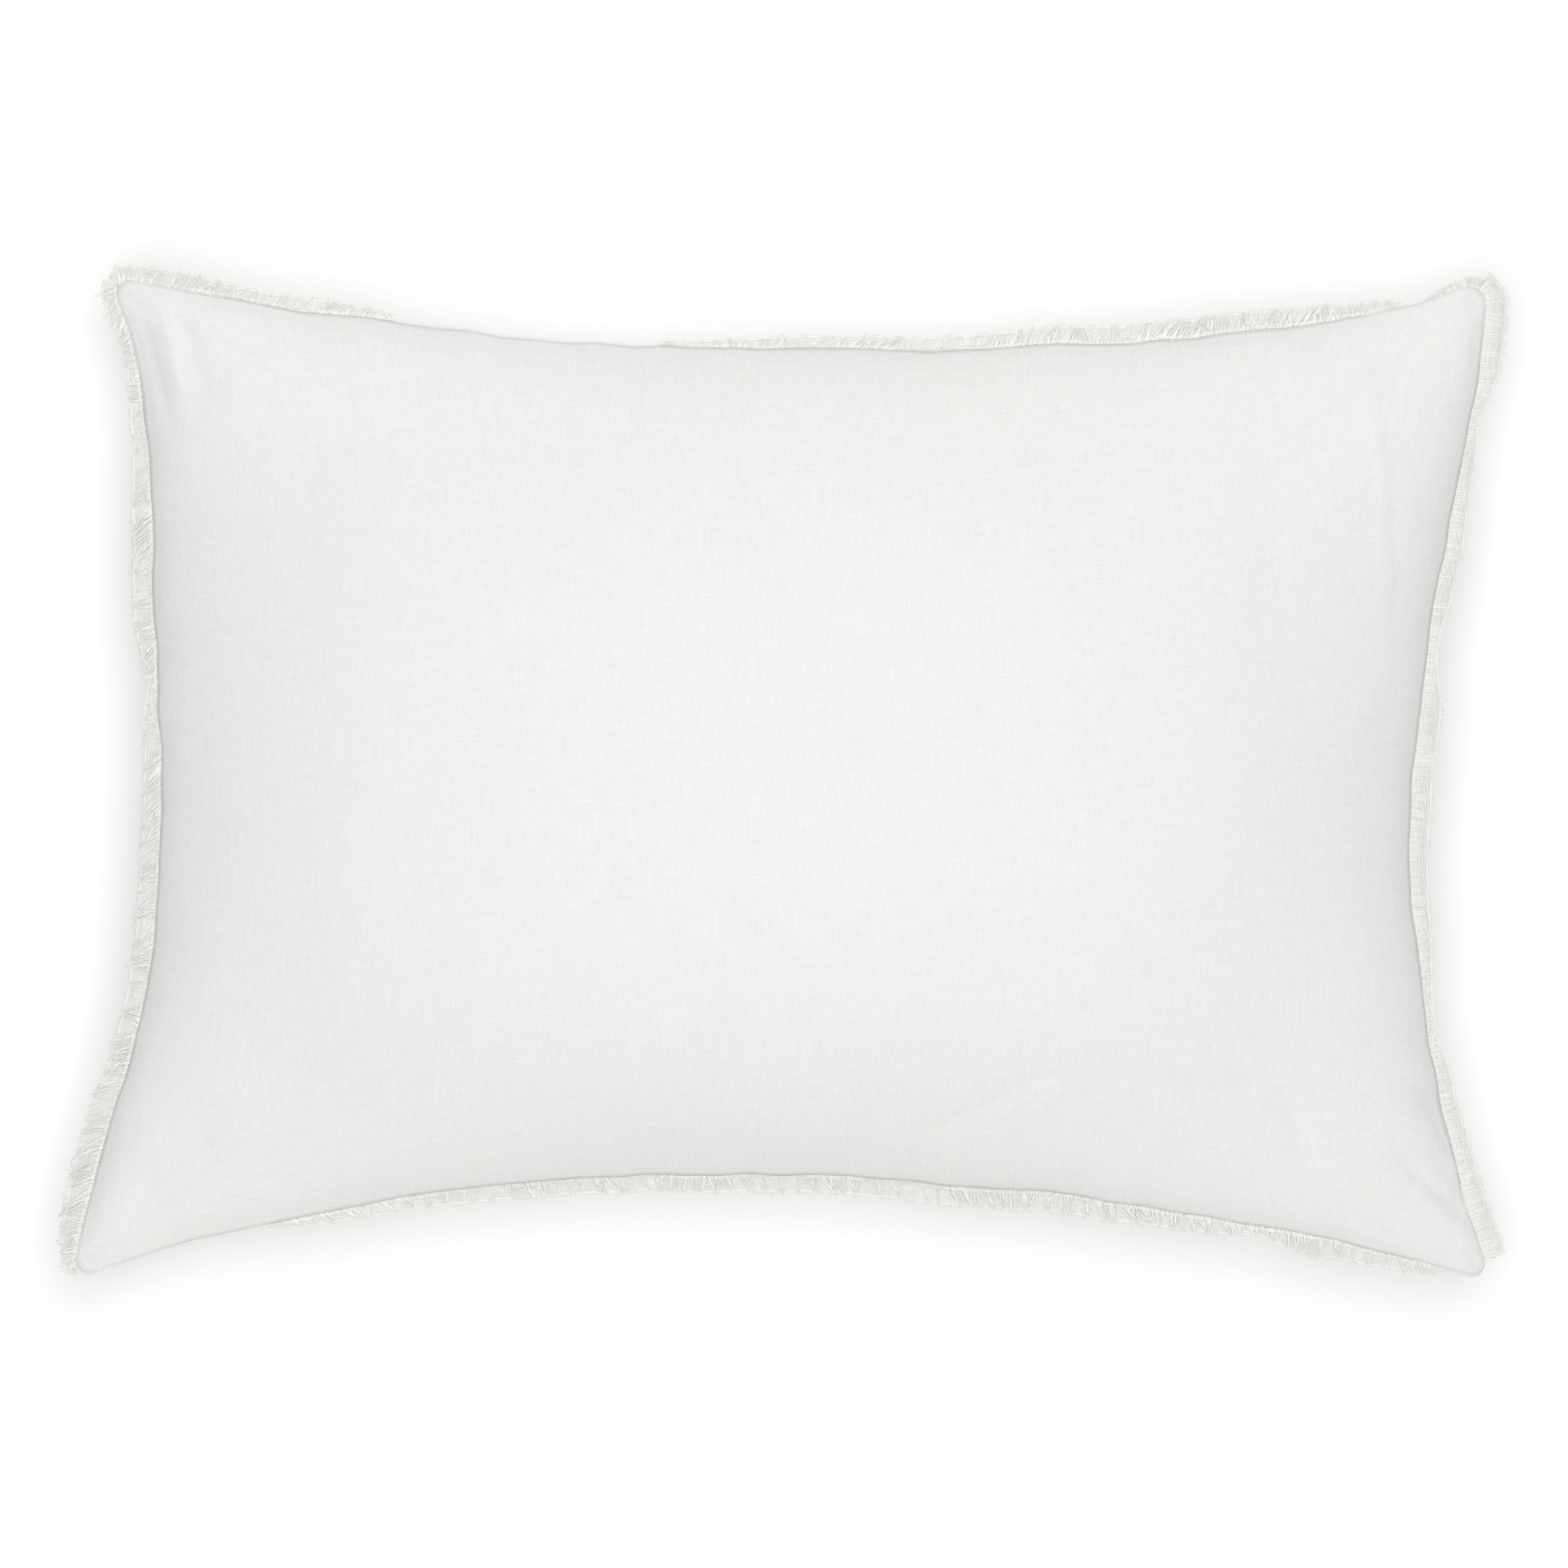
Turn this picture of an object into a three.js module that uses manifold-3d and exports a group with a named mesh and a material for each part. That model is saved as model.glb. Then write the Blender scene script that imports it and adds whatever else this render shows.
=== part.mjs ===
// A bed pillow: a feather-filled insert in a removable linen cover with a frayed trim round its edge
// and a coil zip across the back. Millimetres. The pillow lies on its back: X runs along its long side,
// Y towards its top edge and Z up out of the front panel. The origin is on the surface it lies on,
// under the middle of the pillow.

import * as THREE from "three";
import { mergeVertices } from "three/addons/utils/BufferGeometryUtils.js";
import Module from "manifold-3d";

const manifold = await Module();
manifold.setup();

// Driving sizes: the stuffed cover's outline at its seam, and its height.
const CORNER_X = 343; // half length, seam to seam, measured at the corners
const CORNER_Y = 240; // half width at the corners
const MIDDLE_X = 305; // half length at mid-height, where the sides pull in
const MIDDLE_Y = 202; // half width at mid-length
const LOFT = 175; // thickness at the crown
const SEAM_Z = 60; // height of the edge seam above the surface
const TRIM_OUT = 11; // how far the frayed trim stands out of the seam
const TRIM_IN = 4; // how much of the trim's woven heading is caught inside the seam

// Shape of the swell.
const PULL_IN_POWER = 2.6; // how sharply the sides run out to the corners
const SWELL_POWER = 2.5; // flatness of the crown
const CROWN_ROUNDNESS = 0.6; // below 1, the front panel leaves the seam steeply
const BACK_ROUNDNESS = 0.8; // the same for the back panels
const FLAT_SHARE = 0.55; // the back is flat where its swell is above this share of the full swell

// Cloth and the spaces between layers.
const LINEN = 1.2;
const TICKING = 0.8;
const SEAM_GAP = 1.2; // space between the front and back panels at the seam
const TRIM_THICKNESS = 0.6;
const TRIM_STEPS = 14; // straight pieces in each side of the trim
const TRIM_REACH = 0.9988; // share of a side that its trim covers, which leaves a space at the mitres
const INSERT_SLACK = 2; // the cover is loose on the insert
const FILL_SPACE_BACK = 1;
const FILL_SPACE_FRONT = 4;
const FIT = 0.3; // space between pieces that touch
const THREAD = 0.8; // diameter of the closing seams' thread
const THREAD_SIDES = 6;
const THREAD_STEPS = 56;

// Where the insert and the fill end, and where the closing seams run, as shares of the cover's half size.
const INSERT_EDGE = { x: 0.962, y: 0.95 };
const FILL_EDGE = { x: 0.92, y: 0.9 };
const COVER_SEAM_LINE = { x: 0.981, y: 0.974 };
const INSERT_SEAM_LINE = { x: 0.943, y: 0.927 };

// The zip, in a recess across the lower part of the back.
const ZIP_Y = -90;
const ZIP_OPENING = 400; // length of the slot between the back panels
const ZIP_SLOT = 10.4; // width of the slot
const ZIP_RECESS = 6.5; // depth of the recess in the back panels
const INSERT_RECESS = 7.4; // the insert gives way to the slider's inner plate
const STOP_LENGTH = 2.6;
const COIL_WIDTH = 2.4;
const COIL_THICKNESS = 2.2;
const COIL_LANE = 1.8; // the slider's post runs between the two coils
const TAPE_WIDTH = 12;
const TAPE_THICKNESS = 0.6;
const TAPE_OVERHANG = 7; // past each end of the slot
const TROUGH = { endX: 218, halfY: 9, slope: 6 }; // the recess, straight, with a flat floor
const INSERT_TROUGH = { endX: 221, halfY: 16, slope: 9 }; // the insert's own, which is wider
const STITCH_FROM_ZIP = 6.6; // the line of stitches that holds each tape
const STITCH_SIZE = 0.5;

// Slider and pull tab.
const SLIDER_LENGTH = 11;
const SLIDER_WIDTH = 9.6;
const SLIDER_TAIL_WIDTH = 8.8;
const PLATE = 1.1; // thickness of the slider's two plates
const RUNNING = 0.4; // clearance of the slider on the coils and tapes
const FLANGE = 0.6;
const FLANGE_SHORT = 2; // how far the flanges stop short of the plates' ends
const METAL_ROUND = 2; // at the corners of the plates and the tab
const CAST_OVERLAP = 0.2; // the casting's pieces run into each other
const POST_WIDTH = 1;
const POST_LENGTH = 3;
const BAIL_WIDTH = 1.8;
const BAIL_INNER_R = 1.15;
const BAIL_OUTER_R = 2.15;
const PIVOT_BELOW_PLATE = 1.15;
const TAB_LENGTH = 24;
const TAB_WIDTH = 6;
const TAB_THICKNESS = 1.1;
const TAB_EYE_REACH = 3.2; // from the pivot to the far end of the eye
const TAB_EYE_WIDTH = 2.8;
const TAB_BAR = 0.75; // from the pivot to the near end of the tab
const TAB_HOLE_R = 1.2;

// A blank care label inside the cover, sewn in beside the zip.
const LABEL = { length: 45, width: 26, thickness: 0.3, x: 120, y: -42, z: 1.9 };

// Grid lines of the panels, as shares of the half size: close together at the seam.
const EDGE_LINES = { x: [0.74, 0.85, 0.92, 0.962, 1], y: [0.74, 0.83, 0.9, 0.95, 1] };
const FRONT_LINES = { x: [0, 0.25, 0.5, 0.65], y: [0, 0.3, 0.55] };

function material(color, roughness, metalness = 0) {
  return new THREE.MeshStandardMaterial({ color, roughness, metalness });
}

const linen = material(0xf1f0ec, 0.9);
const trimLinen = material(0xedece8, 0.92);
const ticking = material(0xf6f6f4, 0.8);
const down = material(0xf8f7f3, 1);
const thread = material(0xeeece6, 0.7);
const tapeCloth = material(0xecebe6, 0.8);
const nylon = material(0xe6e5e0, 0.4);
const brass = material(0xb9b4a8, 0.35, 1);
const labelCloth = material(0xfbfbfa, 0.6);

const pillow = new THREE.Group();
pillow.name = "bed_pillow";

function add(parent, name, geometry, finish) {
  const mesh = new THREE.Mesh(geometry, finish);
  mesh.name = name;
  parent.add(mesh);
  return mesh;
}

// Boolean cuts and joins.

function solid(geometry) {
  const bare = geometry.clone();
  bare.deleteAttribute("normal");
  bare.deleteAttribute("uv");
  const merged = mergeVertices(bare, 1e-4);
  const mesh = new manifold.Mesh({
    numProp: 3,
    vertProperties: new Float32Array(merged.attributes.position.array),
    triVerts: new Uint32Array(merged.index.array),
  });
  return new manifold.Manifold(mesh);
}

function geometryOf(body) {
  const mesh = body.getMesh();
  const geometry = new THREE.BufferGeometry();
  geometry.setAttribute("position", new THREE.BufferAttribute(mesh.vertProperties, 3));
  geometry.setIndex(new THREE.BufferAttribute(mesh.triVerts, 1));
  return geometry;
}

function block(lowX, highX, lowY, highY, lowZ, highZ) {
  const box = new THREE.BoxGeometry(highX - lowX, highY - lowY, highZ - lowZ);
  return box.translate((lowX + highX) / 2, (lowY + highY) / 2, (lowZ + highZ) / 2);
}

function joined(geometries) {
  return geometryOf(geometries.map(solid).reduce((whole, part) => whole.add(part)));
}

// The pillow's outline and swell. (u, v) runs from -1 to 1 along X and Y, and is 1 at the seam.

// The seam's outline, larger all round by `out`. Only the outer quarter of a panel follows the
// pulled-in sides, so that the lines over the zip stay straight.
function planPoint(u, v, out = 0) {
  const follow = (t) => {
    const past = Math.max(0, (Math.abs(t) - EDGE_LINES.x[0]) / (1 - EDGE_LINES.x[0]));
    return Math.sign(t) * past;
  };
  const run = (t) => Math.abs(t) ** PULL_IN_POWER;
  const x = (MIDDLE_X + out) * u + (CORNER_X - MIDDLE_X) * run(v) * follow(u);
  const y = (MIDDLE_Y + out) * v + (CORNER_Y - MIDDLE_Y) * run(u) * follow(v);
  return new THREE.Vector2(x, y);
}

function swell(u, v) {
  return (1 - Math.abs(u) ** SWELL_POWER) * (1 - Math.abs(v) ** SWELL_POWER);
}

const frontRise = (u, v) => (LOFT - SEAM_Z) * Math.max(0, swell(u, v)) ** CROWN_ROUNDNESS;

// 1 inside a band of this half width, falling to 0 across the slope beyond it.
function band(distance, half, slope) {
  return THREE.MathUtils.clamp((half + slope - Math.abs(distance)) / slope, 0, 1);
}

// How deep a point lies in one of the zip's troughs, as a share of the trough's depth.
function troughDepth(trough, u, v) {
  const alongZip = band(u * MIDDLE_X, trough.endX, trough.slope);
  const acrossZip = band(v * MIDDLE_Y - ZIP_Y, trough.halfY, trough.slope);
  return alongZip * acrossZip;
}

// How far the back's outer face lies below the seam. The recess's floor is level.
function backDrop(u, v) {
  const share = Math.min(1, Math.max(0, swell(u, v)) / FLAT_SHARE);
  const swollen = SEAM_Z * (1 - (1 - share ** BACK_ROUNDNESS) ** 2);
  return THREE.MathUtils.lerp(swollen, SEAM_Z - ZIP_RECESS, troughDepth(TROUGH, u, v));
}

const noRecess = () => 0;
const insertRecess = (u, v) => INSERT_RECESS * troughDepth(INSERT_TROUGH, u, v);

// Every layer is given by its depth in from the cover's outer face, and by the least height that it
// keeps from the seam's plane, which sets the thickness of its edge.
function frontFace(depth, least) {
  return (u, v) => SEAM_Z + Math.max(least, frontRise(u, v) - depth);
}

function backFace(depth, least, recess = noRecess) {
  return (u, v) => SEAM_Z - Math.max(least, backDrop(u, v) - depth - recess(u, v));
}

// Grid lines of a panel that reaches `edge`, lowest first.
function mirrored(lines) {
  return [...lines.map((t) => -t), ...lines].sort((a, b) => a - b);
}

function unique(lines) {
  return lines.filter((t, i) => i === 0 || t - lines[i - 1] > 1e-6);
}

function frontLines(edge) {
  const line = (axis) => [...FRONT_LINES[axis], ...EDGE_LINES[axis]].filter((t) => t <= edge[axis]);
  return { x: unique(mirrored(line("x"))), y: unique(mirrored(line("y"))) };
}

function backLines(edge) {
  const troughs = [TROUGH, INSERT_TROUGH];
  const ends = troughs.flatMap((t) => [t.endX, t.endX + t.slope]).map((x) => x / MIDDLE_X);
  const sides = troughs.flatMap((t) => [t.halfY, t.halfY + t.slope]);
  const zipLines = mirrored(sides).map((away) => (ZIP_Y + away) / MIDDLE_Y);
  const edgeX = EDGE_LINES.x.filter((t) => t <= edge.x && t > Math.max(...ends));
  const edgeY = EDGE_LINES.y.filter((t) => t <= edge.y);
  const x = unique(mirrored([0, 0.35, ...ends, ...edgeX]));
  const y = unique([...mirrored([0, ...edgeY]), ...zipLines, 0.3, 0.55].sort((a, b) => a - b));
  return { x, y };
}

// A closed solid between two faces over the same grid: a plane for each face, one of them turned
// over, and a wall along their edge.
function layer(lines, topFace, bottomFace) {
  const columns = lines.x.length;
  const rows = lines.y.length;
  const plane = new THREE.PlaneGeometry(1, 1, columns - 1, rows - 1);
  const faceIndex = Array.from(plane.index.array);
  const count = columns * rows;
  const positions = [];
  for (const face of [topFace, bottomFace]) {
    for (let row = 0; row < rows; row++) {
      for (let column = 0; column < columns; column++) {
        const u = lines.x[column];
        const v = lines.y[rows - 1 - row];
        const point = planPoint(u, v);
        positions.push(point.x, point.y, face(u, v));
      }
    }
  }
  const index = [...faceIndex];
  for (let i = 0; i < faceIndex.length; i += 3) {
    index.push(faceIndex[i] + count, faceIndex[i + 2] + count, faceIndex[i + 1] + count);
  }
  const edge = rimOf(columns, rows);
  edge.forEach((here, i) => {
    const next = edge[(i + 1) % edge.length];
    index.push(here, here + count, next, next, here + count, next + count);
  });
  const geometry = new THREE.BufferGeometry();
  geometry.setAttribute("position", new THREE.Float32BufferAttribute(positions, 3));
  geometry.setIndex(index);
  return geometry;
}

// The vertices along a grid's edge, anticlockwise seen from above, starting at its top left.
function rimOf(columns, rows) {
  const at = (column, row) => row * columns + column;
  const rim = [];
  for (let row = 0; row < rows - 1; row++) {
    rim.push(at(0, row));
  }
  for (let column = 0; column < columns - 1; column++) {
    rim.push(at(column, rows - 1));
  }
  for (let row = rows - 1; row > 0; row--) {
    rim.push(at(columns - 1, row));
  }
  for (let column = columns - 1; column > 0; column--) {
    rim.push(at(column, 0));
  }
  return rim;
}

const COVER_EDGE = { x: 1, y: 1 };

// The cover's panels.

function makeFrontPanel() {
  const half = SEAM_GAP / 2;
  const outer = frontFace(0, half + LINEN);
  const inner = frontFace(LINEN, half);
  add(pillow, "front_panel", layer(frontLines(COVER_EDGE), outer, inner), linen);
}

// One shell, cut along the zip into an upper and a lower panel.
function makeBackPanels() {
  const half = SEAM_GAP / 2;
  const outer = backFace(0, half + LINEN);
  const inner = backFace(LINEN, half);
  const shell = solid(layer(backLines(COVER_EDGE), inner, outer));
  const slotX = ZIP_OPENING / 2;
  const slot = block(-slotX, slotX, ZIP_Y - ZIP_SLOT / 2, ZIP_Y + ZIP_SLOT / 2, -1, SEAM_Z);
  const reach = CORNER_X + 1;
  const parting = block(-reach, reach, ZIP_Y - FIT / 2, ZIP_Y + FIT / 2, -1, SEAM_Z);
  const opened = shell.subtract(solid(slot)).subtract(solid(parting));
  const above = block(-reach, reach, ZIP_Y, CORNER_Y + 1, -1, SEAM_Z);
  const below = block(-reach, reach, -CORNER_Y - 1, ZIP_Y, -1, SEAM_Z);
  add(pillow, "back_panel_upper", geometryOf(opened.intersect(solid(above))), linen);
  add(pillow, "back_panel_lower", geometryOf(opened.intersect(solid(below))), linen);
}

// Frayed trim: one flat strip along each side, its heading caught between the front and back panels,
// mitred at the corners.
function makeTrims() {
  const sides = {
    frayed_trim_right: (t, out) => planPoint(1, t, out),
    frayed_trim_top: (t, out) => planPoint(-t, 1, out),
    frayed_trim_left: (t, out) => planPoint(-1, -t, out),
    frayed_trim_bottom: (t, out) => planPoint(t, -1, out),
  };
  for (const [name, pointAt] of Object.entries(sides)) {
    const along = Array.from({ length: TRIM_STEPS + 1 }, (_, i) => TRIM_REACH * (2 * (i / TRIM_STEPS) - 1));
    const outer = along.map((t) => pointAt(t, TRIM_OUT));
    const inner = along.map((t) => pointAt(t, -TRIM_IN)).reverse();
    const strip = new THREE.Shape([...outer, ...inner]);
    const geometry = new THREE.ExtrudeGeometry(strip, { depth: TRIM_THICKNESS, bevelEnabled: false });
    add(pillow, name, geometry, trimLinen).position.z = SEAM_Z - TRIM_THICKNESS / 2;
  }
}

// A closing seam's thread: it follows the outline at these shares of the half size, once round from
// one corner to just short of where it began.
function makeClosingSeam(name, share) {
  const corners = [[1, -1], [1, 1], [-1, 1], [-1, -1]];
  const perSide = THREAD_STEPS / corners.length;
  const points = corners.flatMap(([u, v], side) => {
    const [nextU, nextV] = corners[(side + 1) % corners.length];
    return Array.from({ length: perSide }, (_, i) => {
      const t = i / perSide;
      const onPlan = planPoint((u + (nextU - u) * t) * share.x, (v + (nextV - v) * t) * share.y);
      return new THREE.Vector3(onPlan.x, onPlan.y, SEAM_Z);
    });
  });
  const path = new THREE.CurvePath();
  points.slice(1).forEach((point, i) => path.add(new THREE.LineCurve3(points[i], point)));
  const section = new THREE.Shape();
  section.absarc(0, 0, THREAD / 2, 0, 2 * Math.PI);
  // A circle gets two sides for each curve segment.
  const options = { steps: THREAD_STEPS, extrudePath: path, curveSegments: THREAD_SIDES / 2 };
  add(pillow, name, new THREE.ExtrudeGeometry(section, options), thread);
}

// The insert: two ticking panels and the fill between them.

function makeInsert() {
  const half = SEAM_GAP / 2;
  const outerDepth = LINEN + INSERT_SLACK;
  const innerDepth = outerDepth + TICKING;
  const front = frontLines(INSERT_EDGE);
  const frontOuter = frontFace(outerDepth, half + TICKING);
  const frontInner = frontFace(innerDepth, half);
  add(pillow, "insert_ticking_front", layer(front, frontOuter, frontInner), ticking);
  const back = backLines(INSERT_EDGE);
  const backOuter = backFace(outerDepth, half + TICKING, insertRecess);
  const backInner = backFace(innerDepth, half, insertRecess);
  add(pillow, "insert_ticking_back", layer(back, backInner, backOuter), ticking);
  const edge = TRIM_THICKNESS;
  const fillTop = frontFace(innerDepth + FILL_SPACE_FRONT, edge);
  const fillBottom = backFace(innerDepth + FILL_SPACE_BACK, edge, insertRecess);
  add(pillow, "insert_fill", layer(backLines(FILL_EDGE), fillTop, fillBottom), down);
}

// The zip. Heights are measured up from the surface that the pillow lies on.
const TAPE_Z = ZIP_RECESS + LINEN + FIT;
const COIL_TOP_Z = TAPE_Z - FIT;
const COIL_Z = COIL_TOP_Z - COIL_THICKNESS;
const OUTER_PLATE_TOP_Z = COIL_Z - RUNNING;
const OUTER_PLATE_Z = OUTER_PLATE_TOP_Z - PLATE;
const INNER_PLATE_Z = TAPE_Z + TAPE_THICKNESS + RUNNING;
const PIVOT_Z = OUTER_PLATE_Z - PIVOT_BELOW_PLATE;
const COIL_END = ZIP_OPENING / 2 - STOP_LENGTH - 2 * FIT;

function makeZipHalf(side, sign) {
  const lane = COIL_LANE / 2;
  const across = (near, far) => [near, far].map((y) => ZIP_Y + sign * y).sort((a, b) => a - b);
  const tapeEnd = ZIP_OPENING / 2 + TAPE_OVERHANG;
  const tape = block(-tapeEnd, tapeEnd, ...across(lane, lane + TAPE_WIDTH), TAPE_Z, TAPE_Z + TAPE_THICKNESS);
  add(pillow, `zip_tape_${side}`, tape, tapeCloth);
  const coilY = across(lane, lane + COIL_WIDTH);
  const coil = block(-COIL_END, COIL_END, ...coilY, COIL_Z, COIL_TOP_Z);
  add(pillow, `zip_coil_${side}`, coil, nylon);
  const stopX = -COIL_END - FIT;
  const stop = block(stopX - STOP_LENGTH, stopX, ...coilY, COIL_Z, COIL_TOP_Z);
  add(pillow, `zip_top_stop_${side}`, stop, brass);
  const stitchY = across(STITCH_FROM_ZIP, STITCH_FROM_ZIP + STITCH_SIZE);
  const stitchZ = ZIP_RECESS - FIT;
  const stitches = block(-COIL_END, COIL_END, ...stitchY, stitchZ - STITCH_SIZE, stitchZ);
  add(pillow, `zip_stitching_${side}`, stitches, thread);
}

function makeBottomStop() {
  const reach = COIL_LANE / 2 + COIL_WIDTH;
  const start = COIL_END + FIT;
  const end = start + STOP_LENGTH;
  add(pillow, "zip_bottom_stop", block(start, end, ZIP_Y - reach, ZIP_Y + reach, COIL_Z, COIL_TOP_Z), brass);
}

// The slider stands at the closed end of the zip. Its group's origin is the tab's pivot.
const sliderGroup = new THREE.Group();
sliderGroup.position.set(-COIL_END + SLIDER_LENGTH / 2 + FIT, ZIP_Y, PIVOT_Z);
pillow.add(sliderGroup);

// A plate with a broad nose and a narrower tail, both rounded.
function sliderPlate(z) {
  const end = SLIDER_LENGTH / 2;
  const nose = SLIDER_WIDTH / 2;
  const tail = SLIDER_TAIL_WIDTH / 2;
  const round = METAL_ROUND;
  const shape = new THREE.Shape();
  shape.moveTo(-end + round, -nose);
  shape.lineTo(end - round, -tail);
  shape.quadraticCurveTo(end, -tail, end, -tail + round);
  shape.lineTo(end, tail - round);
  shape.quadraticCurveTo(end, tail, end - round, tail);
  shape.lineTo(-end + round, nose);
  shape.quadraticCurveTo(-end, nose, -end, nose - round);
  shape.lineTo(-end, -nose + round);
  shape.quadraticCurveTo(-end, -nose, -end + round, -nose);
  const options = { depth: PLATE, bevelEnabled: false, curveSegments: 4 };
  return new THREE.ExtrudeGeometry(shape, options).translate(0, 0, z - PIVOT_Z);
}

// Half a ring about the pivot, standing out of the outer plate, that the tab's eye hooks onto.
function bail() {
  const shape = new THREE.Shape();
  shape.absarc(0, 0, BAIL_OUTER_R, Math.PI, 2 * Math.PI);
  shape.lineTo(BAIL_OUTER_R, PIVOT_BELOW_PLATE + PLATE / 2);
  shape.lineTo(BAIL_INNER_R, PIVOT_BELOW_PLATE + PLATE / 2);
  shape.lineTo(BAIL_INNER_R, 0);
  shape.absarc(0, 0, BAIL_INNER_R, 2 * Math.PI, Math.PI, true);
  shape.lineTo(-BAIL_INNER_R, PIVOT_BELOW_PLATE + PLATE / 2);
  shape.lineTo(-BAIL_OUTER_R, PIVOT_BELOW_PLATE + PLATE / 2);
  const options = { depth: BAIL_WIDTH, bevelEnabled: false, curveSegments: 10 };
  const ring = new THREE.ExtrudeGeometry(shape, options).translate(0, 0, -BAIL_WIDTH / 2);
  return ring.rotateX(Math.PI / 2);
}

function makeSlider() {
  const local = (z) => z - PIVOT_Z;
  const post = block(
    -SLIDER_LENGTH / 2, -SLIDER_LENGTH / 2 + POST_LENGTH, -POST_WIDTH / 2, POST_WIDTH / 2,
    local(OUTER_PLATE_TOP_Z - CAST_OVERLAP), local(INNER_PLATE_Z + CAST_OVERLAP),
  );
  const flangeEnd = SLIDER_LENGTH / 2 - FLANGE_SHORT;
  const flangeTop = local(TAPE_Z - RUNNING);
  const flanges = [1, -1].map((side) => {
    const [low, high] = [SLIDER_TAIL_WIDTH / 2 - FLANGE, SLIDER_TAIL_WIDTH / 2]
      .map((y) => side * y)
      .sort((a, b) => a - b);
    return block(-flangeEnd, flangeEnd, low, high, local(OUTER_PLATE_TOP_Z - CAST_OVERLAP), flangeTop);
  });
  const casting = joined([sliderPlate(OUTER_PLATE_Z), sliderPlate(INNER_PLATE_Z), post, ...flanges, bail()]);
  add(sliderGroup, "zip_slider", casting, brass);
}

// The tab lies flat along the closed zip, towards the open end.
function makePullTab() {
  const half = TAB_WIDTH / 2;
  const round = METAL_ROUND;
  const shape = new THREE.Shape();
  shape.moveTo(-TAB_BAR, -half);
  shape.lineTo(TAB_LENGTH - round, -half);
  shape.quadraticCurveTo(TAB_LENGTH, -half, TAB_LENGTH, -half + round);
  shape.lineTo(TAB_LENGTH, half - round);
  shape.quadraticCurveTo(TAB_LENGTH, half, TAB_LENGTH - round, half);
  shape.lineTo(-TAB_BAR, half);
  shape.closePath();
  const eyeHalf = TAB_EYE_WIDTH / 2;
  const eye = new THREE.Path();
  eye.moveTo(TAB_BAR, -eyeHalf);
  eye.lineTo(TAB_BAR, eyeHalf);
  eye.lineTo(TAB_EYE_REACH, eyeHalf);
  eye.lineTo(TAB_EYE_REACH, -eyeHalf);
  eye.closePath();
  const hole = new THREE.Path();
  hole.absarc(TAB_LENGTH - half, 0, TAB_HOLE_R, 0, 2 * Math.PI, true);
  shape.holes.push(eye, hole);
  const options = { depth: TAB_THICKNESS, bevelEnabled: false, curveSegments: 6 };
  const tab = new THREE.ExtrudeGeometry(shape, options).translate(0, 0, -TAB_THICKNESS / 2);
  add(sliderGroup, "zip_pull_tab", tab, brass);
}

function makeCareLabel() {
  const label = new THREE.BoxGeometry(LABEL.length, LABEL.width, LABEL.thickness);
  add(pillow, "care_label", label, labelCloth).position.set(LABEL.x, LABEL.y, LABEL.z);
}

makeFrontPanel();
makeBackPanels();
makeTrims();
makeClosingSeam("cover_closing_seam", COVER_SEAM_LINE);
makeInsert();
makeClosingSeam("insert_closing_seam", INSERT_SEAM_LINE);
makeZipHalf("upper", 1);
makeZipHalf("lower", -1);
makeBottomStop();
makeSlider();
makePullTab();
makeCareLabel();

export default pillow;
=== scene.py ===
"""The looks of a bed pillow in a slubby off-white linen cover with frayed edges, lying on its back."""

import math

import bpy
import numpy as np
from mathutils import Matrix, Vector


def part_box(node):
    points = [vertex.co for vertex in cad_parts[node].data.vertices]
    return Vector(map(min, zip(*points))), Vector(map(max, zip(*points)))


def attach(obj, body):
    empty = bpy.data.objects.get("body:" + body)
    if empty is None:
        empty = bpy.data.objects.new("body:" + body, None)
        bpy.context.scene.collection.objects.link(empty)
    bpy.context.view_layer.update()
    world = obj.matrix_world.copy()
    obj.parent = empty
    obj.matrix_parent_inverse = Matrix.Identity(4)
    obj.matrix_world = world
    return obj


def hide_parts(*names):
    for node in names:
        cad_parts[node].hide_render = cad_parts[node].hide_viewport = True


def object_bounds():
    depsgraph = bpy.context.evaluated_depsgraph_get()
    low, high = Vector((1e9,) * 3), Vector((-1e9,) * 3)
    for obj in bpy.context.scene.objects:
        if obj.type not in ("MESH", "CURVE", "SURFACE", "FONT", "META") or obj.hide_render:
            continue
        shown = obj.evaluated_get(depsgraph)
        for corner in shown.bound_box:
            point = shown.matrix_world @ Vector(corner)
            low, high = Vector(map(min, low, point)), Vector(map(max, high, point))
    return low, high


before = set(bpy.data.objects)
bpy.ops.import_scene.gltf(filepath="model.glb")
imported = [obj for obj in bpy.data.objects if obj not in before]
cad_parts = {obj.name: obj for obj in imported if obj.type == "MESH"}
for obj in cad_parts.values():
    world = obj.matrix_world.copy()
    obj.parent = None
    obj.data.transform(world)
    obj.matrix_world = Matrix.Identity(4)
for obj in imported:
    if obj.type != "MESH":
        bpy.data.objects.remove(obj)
CAD_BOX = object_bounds()

MM = 0.001

# The cover, from the frame: its half sizes, the plane of its seam and the height of its crown.
FRONT_LOW, FRONT_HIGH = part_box("front_panel")
HALF_X = FRONT_HIGH.x
HALF_Y = FRONT_HIGH.y
CROWN_Z = FRONT_HIGH.z
SEAM_Z = (FRONT_LOW.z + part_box("back_panel_upper")[1].z) / 2
FULL_X = CAD_BOX[1].x - CAD_BOX[0].x

# The zip, from the frame.
TAPE_LOW, TAPE_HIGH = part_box("zip_tape_upper")
ZIP_Y = (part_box("zip_coil_lower")[0].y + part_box("zip_coil_upper")[1].y) / 2
SLIDER_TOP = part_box("zip_slider")[1].z
LABEL_LOW, LABEL_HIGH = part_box("care_label")

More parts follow.
